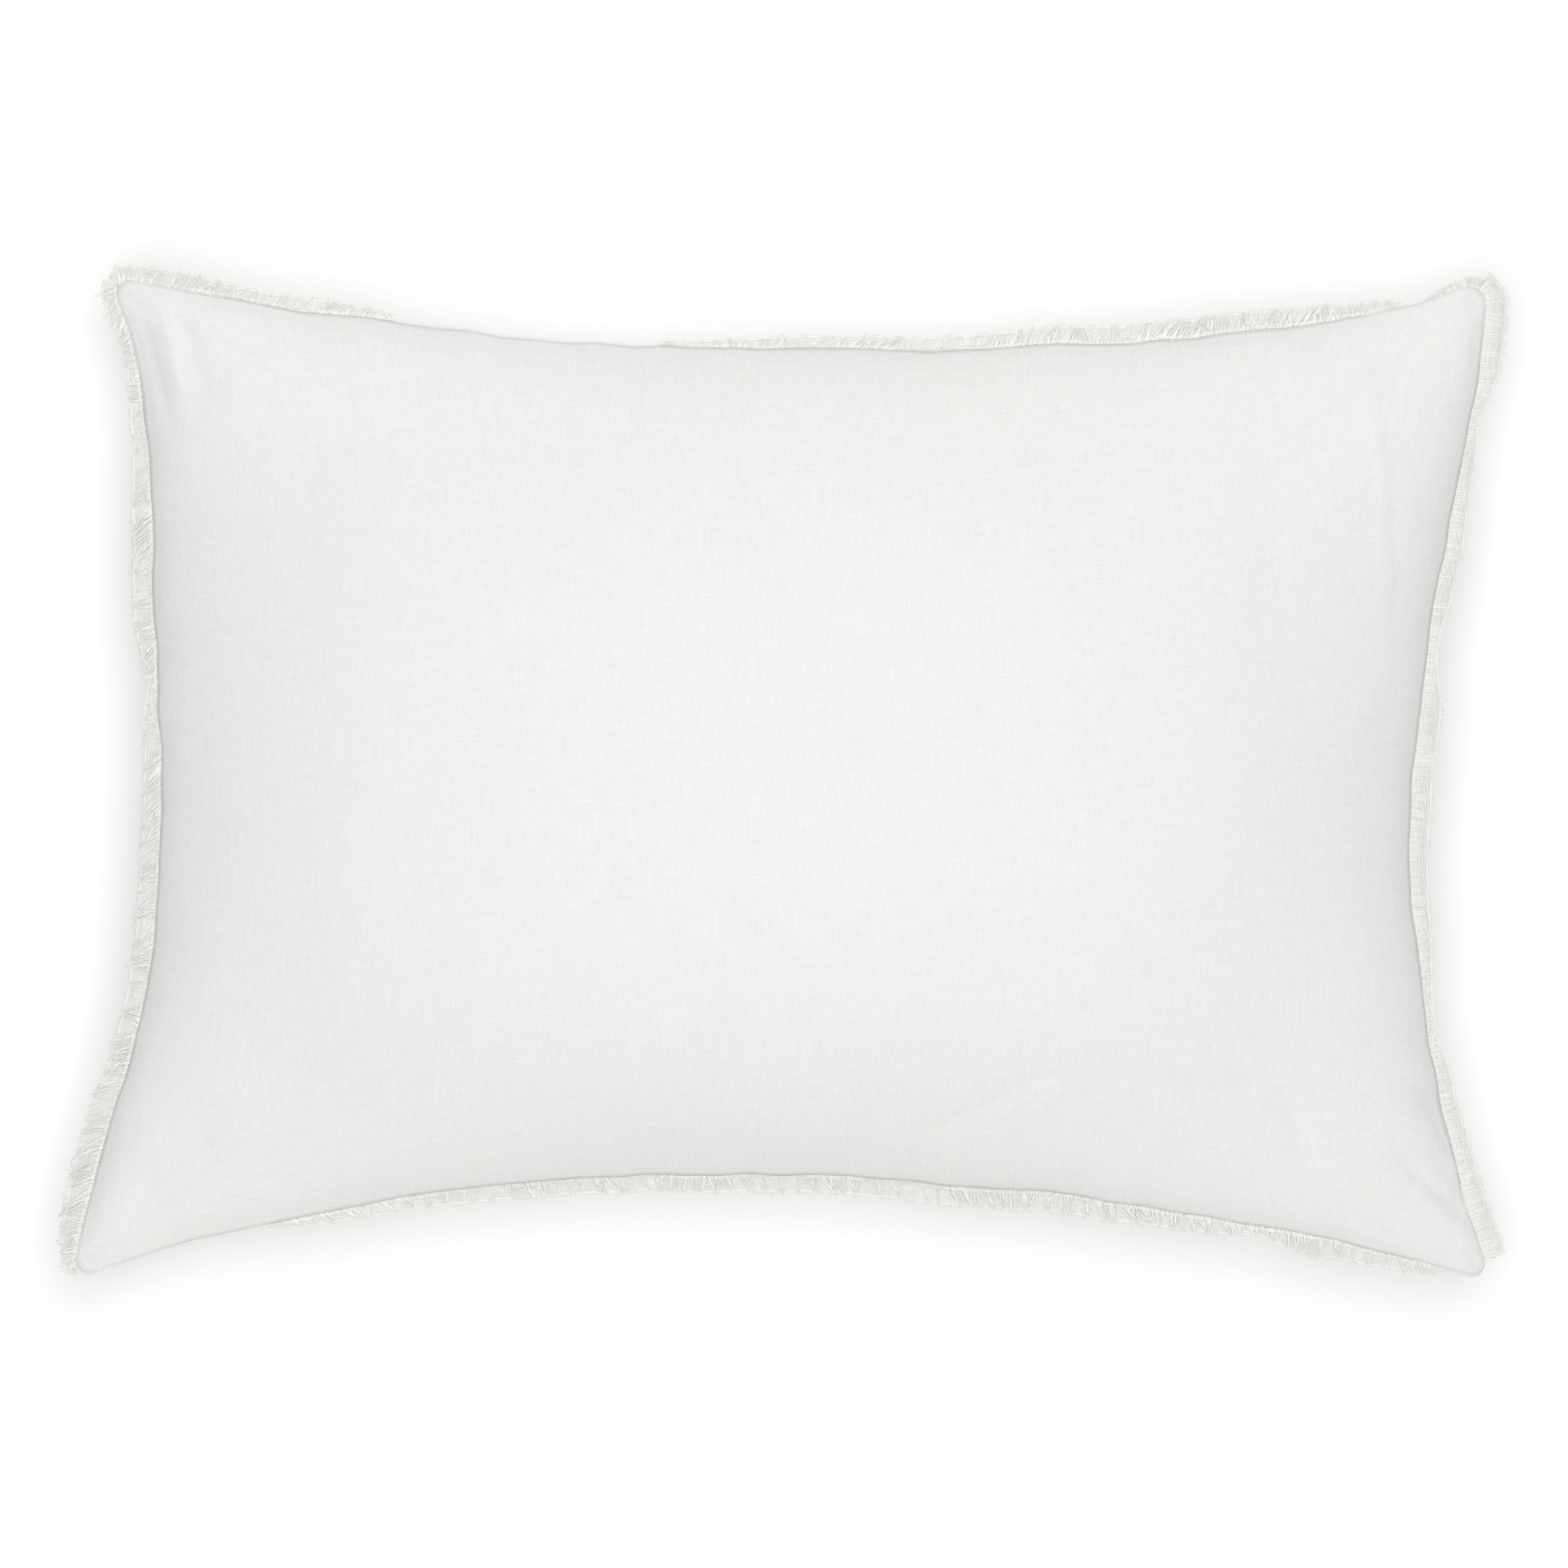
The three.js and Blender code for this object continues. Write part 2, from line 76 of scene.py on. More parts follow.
# The cover's flat cut, seam to seam, and how thick each cloth is.
FLAT_X = 0.70
FLAT_Y = 0.50
LINEN = 0.6 * MM
TICKING = 0.35 * MM
TAPE = 0.55 * MM
LABEL = 0.22 * MM

# The outline at the seam, as shares of the half sizes, from corner to corner. The left side slants,
# and every side pulls in towards its middle.
CORNERS = {"tl": (-0.968, 1.01), "tr": (0.998, 1.005), "bl": (-1.018, -1.035), "br": (1.005, -1.035)}
TOP_SIDE = ((-0.656, 0.935), (-0.31, 0.878), (0.036, 0.861), (0.555, 0.881), (0.785, 0.925))
BOTTOM_SIDE = ((-0.771, -0.927), (-0.598, -0.875), (-0.103, -0.82), (0.382, -0.856), (0.728, -0.935))
LEFT_SIDE = ((-0.962, -0.738), (-0.9075, -0.391), (-0.89, 0.12), (-0.902, 0.548), (-0.921, 0.828))
RIGHT_SIDE = ((0.9525, -0.803), (0.903, -0.441), (0.8856, -0.045), (0.941, 0.498), (0.979, 0.812))
CORNER_ROUND = 14 * MM
SEAM_WAVE = 1.3 * MM  # how far the seam wanders from a smooth line
SEAM_WAVE_SIZES = (42 * MM, 16 * MM)
STRAIGHT_SHARE = 0.74  # inside this share of the panel, the cloth's threads run straight

# How the stuffing swells the cover.
SWELL_POWER = 2.5
FRONT_ROUNDNESS = 0.6
BACK_ROUNDNESS = 0.8
FLAT_SHARE = 0.55  # the back rests on the floor where the swell is more than this
BACK_CURL = 1.4
PINCH = 3.2 * MM  # how far in from the seam the two panels are still drawn together
LONG_SIDE_SLACK = 0.3  # how much lower the front lies just inside its top and bottom seams
SLACK_REACH = 22 * MM

# The cloth simulation of the front.
CELL = 4.5 * MM
PRESSURE = 2.0
SIM_FRAMES = 24

# Creases in the front: start and end as shares of the half sizes, then half width and height in metres.
# One with a height below 0 is a groove.
FRONT_FOLDS = (
    ((-0.925, 0.985), (-0.872, 0.66), 4.5 * MM, -2.4 * MM),
    ((-0.895, 0.99), (-0.845, 0.70), 4.0 * MM, 2.0 * MM),
    ((-0.868, 0.97), (-0.815, 0.74), 3.5 * MM, -1.6 * MM),
    ((-0.89, 0.80), (-0.37, 0.775), 3.2 * MM, -0.8 * MM),
    ((0.825, 0.88), (0.845, 0.30), 2.4 * MM, 0.8 * MM),
    ((0.845, 0.70), (0.862, 0.25), 2.6 * MM, -0.7 * MM),
    ((0.15, -0.75), (0.44, -0.56), 3.2 * MM, -1.0 * MM),
    ((0.43, -0.56), (0.56, -0.66), 3.6 * MM, -0.6 * MM),
    ((0.84, -0.75), (0.99, -0.93), 6.0 * MM, -4.0 * MM),
    ((0.90, -0.68), (0.97, -0.86), 4.5 * MM, 2.5 * MM),
    ((0.70, -0.60), (0.745, -0.88), 7.0 * MM, -2.2 * MM),
    ((0.90, -0.60), (0.945, -0.86), 6.0 * MM, -2.5 * MM),
    ((-0.96, -0.90), (-0.76, -0.68), 9.0 * MM, -3.4 * MM),
    ((-0.90, -0.94), (-0.72, -0.80), 6.0 * MM, 2.2 * MM),
)
# Creases in the back, given in the same way.
BACK_FOLDS = (
    ((-0.80, 0.72), (-0.45, 0.52), 6 * MM, 0.9 * MM),
    ((0.78, 0.74), (0.42, 0.50), 7 * MM, 1.0 * MM),
    ((0.10, 0.70), (0.16, 0.30), 5 * MM, 0.6 * MM),
    ((-0.82, -0.80), (-0.55, -0.62), 6 * MM, 0.9 * MM),
    ((0.80, -0.82), (0.50, -0.64), 6 * MM, 0.9 * MM),
)
FOLD_SHARPNESS = 1.4  # the power in a crease's profile
FOLD_WANDER = 0.6  # how far a crease strays from its line, as a share of its half width
FOLD_WANDER_SIZE = 25 * MM

# Unevenness all over the cloth: heights of waves, their sizes, and how far in the seam's puckers reach.
SLOW_WAVE = 0.5 * MM
SLOW_WAVE_SIZE = 55 * MM
SMALL_WAVE = 0.22 * MM
SMALL_WAVE_SIZE = 21 * MM
SIDE_PUCKER = 0.55 * MM
END_PUCKER = 0.45 * MM
PUCKER_SIZE = 8 * MM
PUCKER_REACH = 9 * MM
SEAM_CALM = 3 * MM  # this near the seam, the unevenness dies away

# The recess that the zip lies in, and the slot between the two back panels.
SLOT_HALF = 5.2 * MM
SLOT_END = 200 * MM
SLOT_TAPER = 3 * MM
MEETING_GAP = 0.25 * MM
RECESS_HALF = 9 * MM
RECESS_END = 218 * MM
RECESS_SLOPE = 7 * MM
FOLD_LIFT = 0.68 * MM
HEM = 3.5 * MM
HEM_ROWS = ((-0.4, 1), (0, 2), (0.5, 2), (1, 2))  # the turned-in edge: how far back, and how high
HEM_FADE = 0.03  # the turned-in edge thins out over this share of the panel, at each end
RECESS_Z = TAPE_LOW.z - 2 * FOLD_LIFT - 0.15 * MM

# The grids of the back panels. 1 is the panel above the zip, and -1 the one below.
BACK_COLUMNS = 141
BACK_ROWS = {1: 70, -1: 34}
ZIP_ROWS = 16  # close together, near the zip
ZIP_ROWS_REACH = 0.1
SLOT_COLUMNS = 12  # close together, round each end of the slot
SLOT_COLUMNS_FROM = -0.012
SLOT_COLUMNS_TO = 0.022
REST_FADE = 6 * MM  # below this height, hollows fade out, because the back rests on the floor

# The insert's outline as a share of the cover's, how far its cloth lies inside the cover, and its fill.
INSERT_SHARE = 0.955
INSERT_GAP_FRONT = 3 * MM
INSERT_GAP_BACK = 2.8 * MM
FILL_GAP = 1.5 * MM
FILL_SHARE = (0.985, 0.98)
LUMP_SIZE = 24 * MM
FRONT_LUMPS = 3 * MM
BACK_LUMPS = 1.5 * MM
INSERT_GRID = (121, 85)
SLIDER_SPACE = 0.8 * MM  # between the slider and the insert over it

# The frayed trim's yarns.
YARN_PITCH = 0.6 * MM
YARN_RADIUS = 0.25 * MM
YARN_STEPS = 6
LAYER_GAP = 0.6 * MM
YARN_TUCK = 1.2 * MM  # how far inside the seam a yarn begins
SHORTEST_YARN = 1.2 * MM
WEAVE_HEIGHT = 0.16 * MM
DROP = 0.12  # radians below the level at the seam
TUCKED_DROP = 1.45
TUFT = 6 * MM
GATHER = (0.55, 1.0)  # how far a tuft's tips are drawn together
UPPER_REACH = 0.88  # a loose upper layer's length, as a share of the lower layer's
WOVEN_SHARE = 0.86  # of the lower layer, which still has its cross threads
WOVEN_UPPER_SHARE = 0.93  # the most of an upper layer that still has them
WOVEN_LOOSENESS = 0.2  # how unevenly woven yarns lie, as a share of loose ones
LOOSE_CROSSINGS = 3  # cross threads left in a loose upper layer
WOVEN_CROSSINGS = 21  # and in a woven one

# How unevenly loose yarns lie. Leans are shares of a yarn's length, and drops are in radians.
YARN_JITTER = 0.12  # of a pitch
TUFT_LEAN = 0.22
SLOW_LEAN = 0.35
SLOW_LEAN_SIZE = 30 * MM
YARN_LEAN = 0.07
TUFT_LENGTH_SPREAD = 0.10
YARN_LENGTH_SPREAD = 0.045
SLOW_DROP = 0.10
SLOW_DROP_SIZE = 14 * MM
YARN_DROP = 0.06
YARN_CURL = 0.9 * MM

# Each side's trim: its length in millimetres at shares along the side (left to right, or bottom to top),
# the stretches where it is tucked under, how far its yarns lean along the side, as a share of their
# length, and whether its upper layer is still woven.
TRIMS = {
    "left": {
        "lengths": (
            (0, 5), (0.02, 9), (0.05, 12), (0.1, 15), (0.25, 12), (0.4, 12), (0.55, 11), (0.6, 6),
            (0.64, 12), (0.76, 13), (0.86, 9), (0.93, 7), (1, 10),
        ),
        "tucked": (),
        "lean": -0.55,
        "woven": False,
    },
    "right": {
        "lengths": (
            (0.02, 0), (0.025, 13), (0.12, 11), (0.2, 9), (0.27, 5), (0.36, 10), (0.5, 12), (0.57, 12.5),
            (0.63, 6), (0.7, 11), (0.8, 8.5), (0.86, 6), (0.91, 12), (0.975, 13), (1, 12),
        ),
        "tucked": (),
        "lean": 0.02,
        "woven": True,
    },
    "top": {
        "lengths": (
            (0, 9), (0.05, 11), (0.1, 8), (0.16, 9), (0.2, 5), (0.42, 5), (0.5, 8), (0.62, 9.5),
            (0.77, 12), (0.87, 11), (0.93, 6), (0.96, 4), (1, 8),
        ),
        "tucked": ((0.2, 0.41), (0.925, 0.965)),
        "lean": 0.5,
        "woven": False,
    },
    "bottom": {
        "lengths": (
            (0, 4), (0.16, 6), (0.22, 9), (0.35, 10), (0.5, 11), (0.7, 12.5), (0.80, 10), (0.835, 6),
            (0.87, 13), (0.94, 8), (1, 4),
        ),
        "tucked": ((0, 0.15), (0.955, 1)),
        "lean": 0.35,
        "woven": False,
    },
}

# Stitches: their pitch, length and radius, and how far the ends of the tapes' stitches are raised.
SEAM_STITCH = (3 * MM, 2.5 * MM, 0.22 * MM)
INSERT_STITCH = (3 * MM, 2.5 * MM, 0.2 * MM)
TAPE_STITCH = (2.9 * MM, 2.3 * MM, 0.19 * MM)
TAPE_STITCH_LIFT = 0.28 * MM

# The zip's coils, and how far the edges of its metal parts are eased.
WIRE = 0.3 * MM
COIL_PITCH = 1.3 * MM
POINTS_A_TURN = 14
EASE = 0.15 * MM
SLIDER_EASE = 0.2 * MM

# The studio: a pale floor, an even pale surround, a large light overhead and a strip light beyond the
# top of the pillow, with one like it beyond the bottom.
FLOOR_ALBEDO = 0.95
FLOOR_GLOW = 0.07  # the board is lit from below as well, which keeps its shadows pale
WORLD_LIGHT = 0.52
WORLD_COLOUR = (1.0, 0.988, 0.975, 1)
SOFTBOX_POWER = 36.5
SOFTBOX_PLACE = (0.05, 0.15, 2.6)
SOFTBOX_SIZE = (1.6, 2.6)
STRIP_POWER = 3.1
STRIP_PLACE = (0.0, 1.5, 0.75)
STRIP_SIZE = (2.0, 0.5)
VIEW_SHARE = 1.08  # the picture's width over the pillow's
CAMERA_DISTANCE = 3.2
LOOK_AT = (-1.2 * MM, -5.3 * MM)


# ---------------------------------------------------------------- outline

def smooth(share):
    share = np.clip(share, 0, 1)
    return share * share * (3 - 2 * share)


def bumps(x, y, size, seed):
    """Smooth random bumps about size across, from -1 to 1."""
    cells = 64
    lattice = np.random.default_rng(seed).uniform(-1, 1, (cells, cells))
    u = x / size + cells / 2
    v = y / size + cells / 2
    i = np.floor(u).astype(int)
    j = np.floor(v).astype(int)
    a = smooth(u - i)
    b = smooth(v - j)
    here = i % cells
    beside = (i + 1) % cells
    low = lattice[j % cells, here] * (1 - a) + lattice[j % cells, beside] * a
    high = lattice[(j + 1) % cells, here] * (1 - a) + lattice[(j + 1) % cells, beside] * a
    return low * (1 - b) + high * b


def side_curve(start, middle, end, along, seed):
    """A nearly smooth side through its points: a function of t, from -1 to 1, that gives the plan."""
    points = np.array([start, *middle, end]) * (HALF_X, HALF_Y)
    run = points[:, along]
    t = 2 * (run - run[0]) / (run[-1] - run[0]) - 1
    fits = [np.polynomial.Polynomial.fit(t, points[:, axis], 5) for axis in (0, 1)]
    missed_start = points[0] - np.array([fit(-1.0) for fit in fits])
    missed_end = points[-1] - np.array([fit(1.0) for fit in fits])
    length = run[-1] - run[0]

    def at(where):
        where = np.asarray(where, float)
        found = np.stack([fit(where) for fit in fits], axis=-1)
        share = ((where + 1) / 2)[..., None]
        found = found + (1 - share) * missed_start + share * missed_end
        place = where * length / 2
        wave = bumps(place, place * 0, SEAM_WAVE_SIZES[0], seed)
        wave = wave + 0.5 * bumps(place, place * 0, SEAM_WAVE_SIZES[1], seed + 1)
        found[..., 1 - along] += SEAM_WAVE * wave * (1 - where ** 8)
        return found

    return at


TOP = side_curve(CORNERS["tl"], TOP_SIDE, CORNERS["tr"], 0, 201)
BOTTOM = side_curve(CORNERS["bl"], BOTTOM_SIDE, CORNERS["br"], 0, 211)
LEFT = side_curve(CORNERS["bl"], LEFT_SIDE, CORNERS["tl"], 1, 221)
RIGHT = side_curve(CORNERS["br"], RIGHT_SIDE, CORNERS["tr"], 1, 231)
MIDDLE_X = (RIGHT(0.0)[0] - LEFT(0.0)[0]) / 2
MIDDLE_Y = (TOP(0.0)[1] - BOTTOM(0.0)[1]) / 2


def rounded(s, t):
    """Moves the grid's corners in onto an arc."""
    a = (1 - np.abs(s)) * HALF_X
    b = (1 - np.abs(t)) * HALF_Y
    da = np.maximum(0, CORNER_ROUND - a)
    db = np.maximum(0, CORNER_ROUND - b)
    length = np.hypot(da, db)
    scale = np.where(length > 0, np.maximum(da, db) / np.maximum(length, 1e-12), 1)
    a = np.where(da > 0, CORNER_ROUND - da * scale, a)
    b = np.where(db > 0, CORNER_ROUND - db * scale, b)
    return np.sign(s) * (1 - a / HALF_X), np.sign(t) * (1 - b / HALF_Y)


def plan(s, t):
    """Where the point (s, t) of a panel lies in the plan. s and t run from -1 to 1 between the seams."""
    s, t = rounded(s, t)
    u = ((s + 1) / 2)[..., None]
    v = ((t + 1) / 2)[..., None]
    corner = {name: np.array(place) * (HALF_X, HALF_Y) for name, place in CORNERS.items()}
    ruled = (1 - v) * BOTTOM(s) + v * TOP(s) + (1 - u) * LEFT(t) + u * RIGHT(t)
    corners = (1 - u) * (1 - v) * corner["bl"] + u * (1 - v) * corner["br"]
    corners = corners + (1 - u) * v * corner["tl"] + u * v * corner["tr"]
    straight = np.stack([s * MIDDLE_X, t * MIDDLE_Y], axis=-1)
    past = (np.maximum(np.abs(s), np.abs(t)) - STRAIGHT_SHARE) / (1 - STRAIGHT_SHARE)
    blend = smooth(past)[..., None]
    return straight * (1 - blend) + (ruled - corners) * blend


# ---------------------------------------------------------------- surfaces

def fold(x, y, start, end, width, height):
    """The height of one crease, which fades out towards its two ends."""
    start = np.array(start) * (HALF_X, HALF_Y)
    run = np.array(end) * (HALF_X, HALF_Y) - start
    length = np.hypot(*run)
    along = ((x - start[0]) * run[0] + (y - start[1]) * run[1]) / length ** 2
    across = ((x - start[0]) * run[1] - (y - start[1]) * run[0]) / length
    across = across + FOLD_WANDER * width * bumps(along * length, across * 0, FOLD_WANDER_SIZE, 7)
    ends = smooth(3 * np.minimum(along, 1 - along))
    return height * np.exp(-np.abs(across / width) ** FOLD_SHARPNESS) * ends


def wrinkles(s, t, x, y, folds, seed):
    """How far the cloth stands out from its smooth shape: slow waves, puckers at the seams, creases."""
    from_side = (1 - np.abs(s)) * HALF_X
    from_end = (1 - np.abs(t)) * HALF_Y
    height = SLOW_WAVE * bumps(x, y, SLOW_WAVE_SIZE, seed)
    height = height + SMALL_WAVE * bumps(x, y, SMALL_WAVE_SIZE, seed + 1)
    at_sides = bumps(y, x * 0, PUCKER_SIZE, seed + 2) * np.exp(-from_side / PUCKER_REACH)
    at_ends = bumps(x, y * 0, PUCKER_SIZE, seed + 3) * np.exp(-from_end / PUCKER_REACH)
    height = height + SIDE_PUCKER * at_sides + END_PUCKER * at_ends
    for start, end, width, rise in folds:
        height = height + fold(x, y, start, end, width, rise)
    return height * smooth(np.minimum(from_side, from_end) / SEAM_CALM)


def object_of(name, vertices, faces, uvs=None):
    mesh = bpy.data.meshes.new(name)
    mesh.from_pydata(np.asarray(vertices).tolist(), [], faces)
    if uvs is not None:
        layer = mesh.uv_layers.new(name="flat")
        corner = np.zeros(len(mesh.loops), np.int32)
        mesh.loops.foreach_get("vertex_index", corner)
        layer.data.foreach_set("uv", np.asarray(uvs)[corner].ravel().astype(np.float32))
    mesh.polygons.foreach_set("use_smooth", [True] * len(mesh.polygons))
    obj = bpy.data.objects.new(name, mesh)
    bpy.context.scene.collection.objects.link(obj)
    return obj


def grid_faces(rows, columns, flip=False, first=0):
    index = first + np.arange(rows * columns).reshape(rows, columns)
    corners = [index[:-1, :-1], index[:-1, 1:], index[1:, 1:], index[1:, :-1]]
    if flip:
        corners.reverse()
    return np.stack(corners, axis=-1).reshape(-1, 4).tolist()


def grid_object(name, points, flat, flip=False):
    rows, columns = points.shape[:2]
    faces = grid_faces(rows, columns, flip)
    return object_of(name, points.reshape(-1, 3), faces, flat.reshape(-1, 2))


def refined(grid):
    """A grid of points with one more line between every two, on smooth curves through the old ones."""
    for axis in (0, 1):
        lines = np.moveaxis(grid, axis, 0)
        before = np.concatenate([[2 * lines[0] - lines[1]], lines[:-2]])
        after = np.concatenate([lines[2:], [2 * lines[-1] - lines[-2]]])
        woven = np.empty((2 * len(lines) - 1, *lines.shape[1:]))
        woven[0::2] = lines
        woven[1::2] = (9 * (lines[:-1] + lines[1:]) - before - after) / 16
        grid = np.moveaxis(woven, 0, axis)
    return grid


def normals_of(grid):
    n = np.cross(np.gradient(grid, axis=1), np.gradient(grid, axis=0))
    return n / np.maximum(np.linalg.norm(n, axis=-1, keepdims=True), 1e-12)


def sampled(grid, s, t):
    """The points of a grid at s and t, which run from -1 to 1 over it."""
    rows, columns = grid.shape[:2]
    u = np.clip((s + 1) / 2 * (columns - 1), 0, columns - 1.001)
    v = np.clip((t + 1) / 2 * (rows - 1), 0, rows - 1.001)
    i = u.astype(int)
    j = v.astype(int)
    a = (u - i)[..., None]
    b = (v - j)[..., None]
    low = grid[j, i] * (1 - a) + grid[j, i + 1] * a
    high = grid[j + 1, i] * (1 - a) + grid[j + 1, i + 1] * a
    return low * (1 - b) + high * b


def thicken(obj, amount):
    solid = obj.modifiers.new("thickness", "SOLIDIFY")
    solid.thickness = amount
    solid.offset = -1


def place_piece(obj, body, nodes, material):
    """Joins a piece to its body, in the place of its CAD nodes, with its material."""
    obj.data.materials.clear()
    obj.data.materials.append(material)
    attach(obj, body)
    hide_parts(*nodes)
    return obj


def tubes(paths, radii, sides, helper):
    """Vertices and faces of many closed round threads. paths is threads x points x 3."""
    run = np.gradient(paths, axis=1)
    run = run / np.linalg.norm(run, axis=-1, keepdims=True)
    first = np.cross(run, helper)
    first = first / np.linalg.norm(first, axis=-1, keepdims=True)
    second = np.cross(run, first)
    angle = (2 * math.pi * np.arange(sides) / sides)[:, None]
    ring = first[:, :, None] * np.cos(angle) + second[:, :, None] * np.sin(angle)
    vertices = paths[:, :, None] + radii[..., None, None] * ring
    index = np.arange(vertices[..., 0].size).reshape(vertices.shape[:3])
    near = index[:, :-1]
    far = index[:, 1:]
    quads = np.stack([near, np.roll(near, -1, axis=2), np.roll(far, -1, axis=2), far], axis=-1)
    caps = index[:, 0, ::-1].tolist() + index[:, -1].tolist()
    return vertices.reshape(-1, 3), quads.reshape(-1, 4).tolist() + caps


def joined(*meshes):
    """Several lists of vertices and faces as one."""
    vertices = []
    faces = []
    count = 0
    for some_vertices, some_faces in meshes:
        vertices.append(some_vertices)
        faces.extend([[count + i for i in face] for face in some_faces])
        count += len(some_vertices)
    return np.concatenate(vertices), faces


# ---------------------------------------------------------------- cover, front

def inflated(points, flat):
    """The cloth's own shape, blown up from these points with its seam held. flat is its cut."""
    rows, columns = points.shape[:2]
    obj = object_of("panel_sim", points.reshape(-1, 3), grid_faces(rows, columns))
    obj.shape_key_add(name="Basis")
    cut = obj.shape_key_add(name="cut")
    laid = np.concatenate([flat, np.full((rows, columns, 1), SEAM_Z)], axis=-1)
    cut.data.foreach_set("co", laid.reshape(-1).astype(np.float32))
    seam = obj.vertex_groups.new(name="seam")
    index = np.arange(rows * columns).reshape(rows, columns)
    edge = np.concatenate([index[0], index[-1], index[1:-1, 0], index[1:-1, -1]])
    seam.add([int(i) for i in edge], 1.0, "REPLACE")
    cloth = obj.modifiers.new("Cloth", "CLOTH")
    settings = cloth.settings
    settings.quality = 8
    settings.mass = 0.3
    settings.tension_stiffness = 80
    settings.compression_stiffness = 80
    settings.shear_stiffness = 20
    settings.bending_stiffness = 0.3
    settings.air_damping = 2
    settings.vertex_group_mass = "seam"
    settings.rest_shape_key = cut
    settings.use_pressure = True
    settings.uniform_pressure_force = PRESSURE
    settings.effector_weights.gravity = 0
    cloth.point_cache.frame_start = 1
    cloth.point_cache.frame_end = SIM_FRAMES
    for number in range(1, SIM_FRAMES + 1):
        bpy.context.scene.frame_set(number)
    shaped = obj.evaluated_get(bpy.context.evaluated_depsgraph_get())
    result = np.zeros(rows * columns * 3, np.float32)
    shaped.data.vertices.foreach_get("co", result)
    bpy.context.scene.frame_set(1)
    bpy.data.objects.remove(obj)
    return result.reshape(rows, columns, 3).astype(float)


def swell_at(s, t):
    return np.maximum(0, (1 - np.abs(s) ** SWELL_POWER) * (1 - np.abs(t) ** SWELL_POWER))


def front_shape():
    """The front's points and its flat cut, one row of points above the other."""
    columns = int(FLAT_X / CELL) + 1
    rows = int(FLAT_Y / CELL) + 1
    s, t = np.meshgrid(np.linspace(-1, 1, columns), np.linspace(-1, 1, rows))
    height = SEAM_Z + (CROWN_Z - SEAM_Z) * swell_at(s, t) ** FRONT_ROUNDNESS
    points = np.concatenate([plan(s, t), height[..., None]], axis=-1)
    flat = np.stack([s * FLAT_X / 2, t * FLAT_Y / 2], axis=-1)
    points = inflated(points, flat)
    points = refined(points)
    flat = refined(flat)
    s = flat[..., 0] / (FLAT_X / 2)
    t = flat[..., 1] / (FLAT_Y / 2)
    from_end = (1 - np.abs(t)) * HALF_Y
    from_seam = np.minimum((1 - np.abs(s)) * HALF_X, from_end)
    drawn_in = (1 - np.exp(-from_seam / PINCH)) * (1 - LONG_SIDE_SLACK * np.exp(-from_end / SLACK_REACH))
    points[..., 2] = SEAM_Z + (points[..., 2] - SEAM_Z) * drawn_in
    out = wrinkles(s, t, points[..., 0], points[..., 1], FRONT_FOLDS, 3)
    return points + normals_of(points) * out[..., None], flat


def make_front(points, flat):
    front = grid_object("linen_front", points, flat)
    thicken(front, LINEN)
    return place_piece(front, "pillow", ["front_panel"], LINEN_LOOK)


# ---------------------------------------------------------------- cover, back

def recess_share(x, y):
    """1 in the recess round the zip and 0 outside it."""
    side = smooth((RECESS_HALF + RECESS_SLOPE - np.abs(y - ZIP_Y)) / RECESS_SLOPE)
    return side * smooth((RECESS_END + RECESS_SLOPE - np.abs(x)) / RECESS_SLOPE)


def back_height(s, t):
    """How high the back's outside is over the floor, without its wrinkles."""
    rise = swell_at(s, t) ** BACK_ROUNDNESS / FLAT_SHARE
    return SEAM_Z * np.maximum(0, 1 - rise) ** BACK_CURL


def back_lines(side):
    """The grid lines of a back panel. side is 1 for the panel above the zip and -1 for the one below."""
    slot_end = SLOT_END / MIDDLE_X
    near_end = np.linspace(slot_end + SLOT_COLUMNS_FROM, slot_end + SLOT_COLUMNS_TO, SLOT_COLUMNS)
    s = np.unique(np.concatenate([np.linspace(-1, 1, BACK_COLUMNS), near_end, -near_end]))
    zip_t = ZIP_Y / MIDDLE_Y
    far_t = zip_t + side * ZIP_ROWS_REACH
    wide = np.linspace(side, far_t, BACK_ROWS[side])
    fine = np.linspace(far_t, zip_t, ZIP_ROWS)[1:]
    return s, wide, fine


def back_panel(side):
    """One back panel, its folded edge at the zip included: points, and places in the flat cut."""
    s, wide, fine = back_lines(side)
    far_t = wide[-1]
    zip_t = fine[-1]
    x = s * MIDDLE_X
    in_slot = smooth((SLOT_END + SLOT_TAPER - np.abs(x)) / SLOT_TAPER)
    gap = MEETING_GAP + (SLOT_HALF - MEETING_GAP) * in_slot
    edge_t = zip_t + side * gap / MIDDLE_Y
    near = far_t + (edge_t[None] - far_t) * ((fine - far_t) / (zip_t - far_t))[:, None]
    t = np.concatenate([np.repeat(wide[:, None], len(s), axis=1), near])
    lift = np.zeros_like(t)
    for back, up in HEM_ROWS:
        reach = back * HEM if back > 0 else back * FOLD_LIFT
        t = np.concatenate([t, (edge_t + side * reach / MIDDLE_Y)[None]])
        lift = np.concatenate([lift, np.full((1, len(s)), up * FOLD_LIFT)])
    s = np.repeat(s[None], len(t), axis=0)
    place = plan(s, t)
    x = place[..., 0]
    y = place[..., 1]
    height = back_height(s, t)
    sag = wrinkles(s, t, x, y, BACK_FOLDS, 21)
    resting = smooth(height / REST_FADE)
    height = height + np.where(sag > 0, sag, sag * resting)
    recess = recess_share(s * MIDDLE_X, t * MIDDLE_Y)
    height = height * (1 - recess) + RECESS_Z * recess
    height = height + lift * np.clip((1 - np.abs(s)) / HEM_FADE, 0, 1)
    points = np.concatenate([place, height[..., None]], axis=-1)
    turned_in = np.where(lift > 1.5 * FOLD_LIFT, 2 * (edge_t - t), 0)
    flat = np.stack([s * FLAT_X / 2, (t + turned_in) * FLAT_Y / 2], axis=-1)
    return points, flat


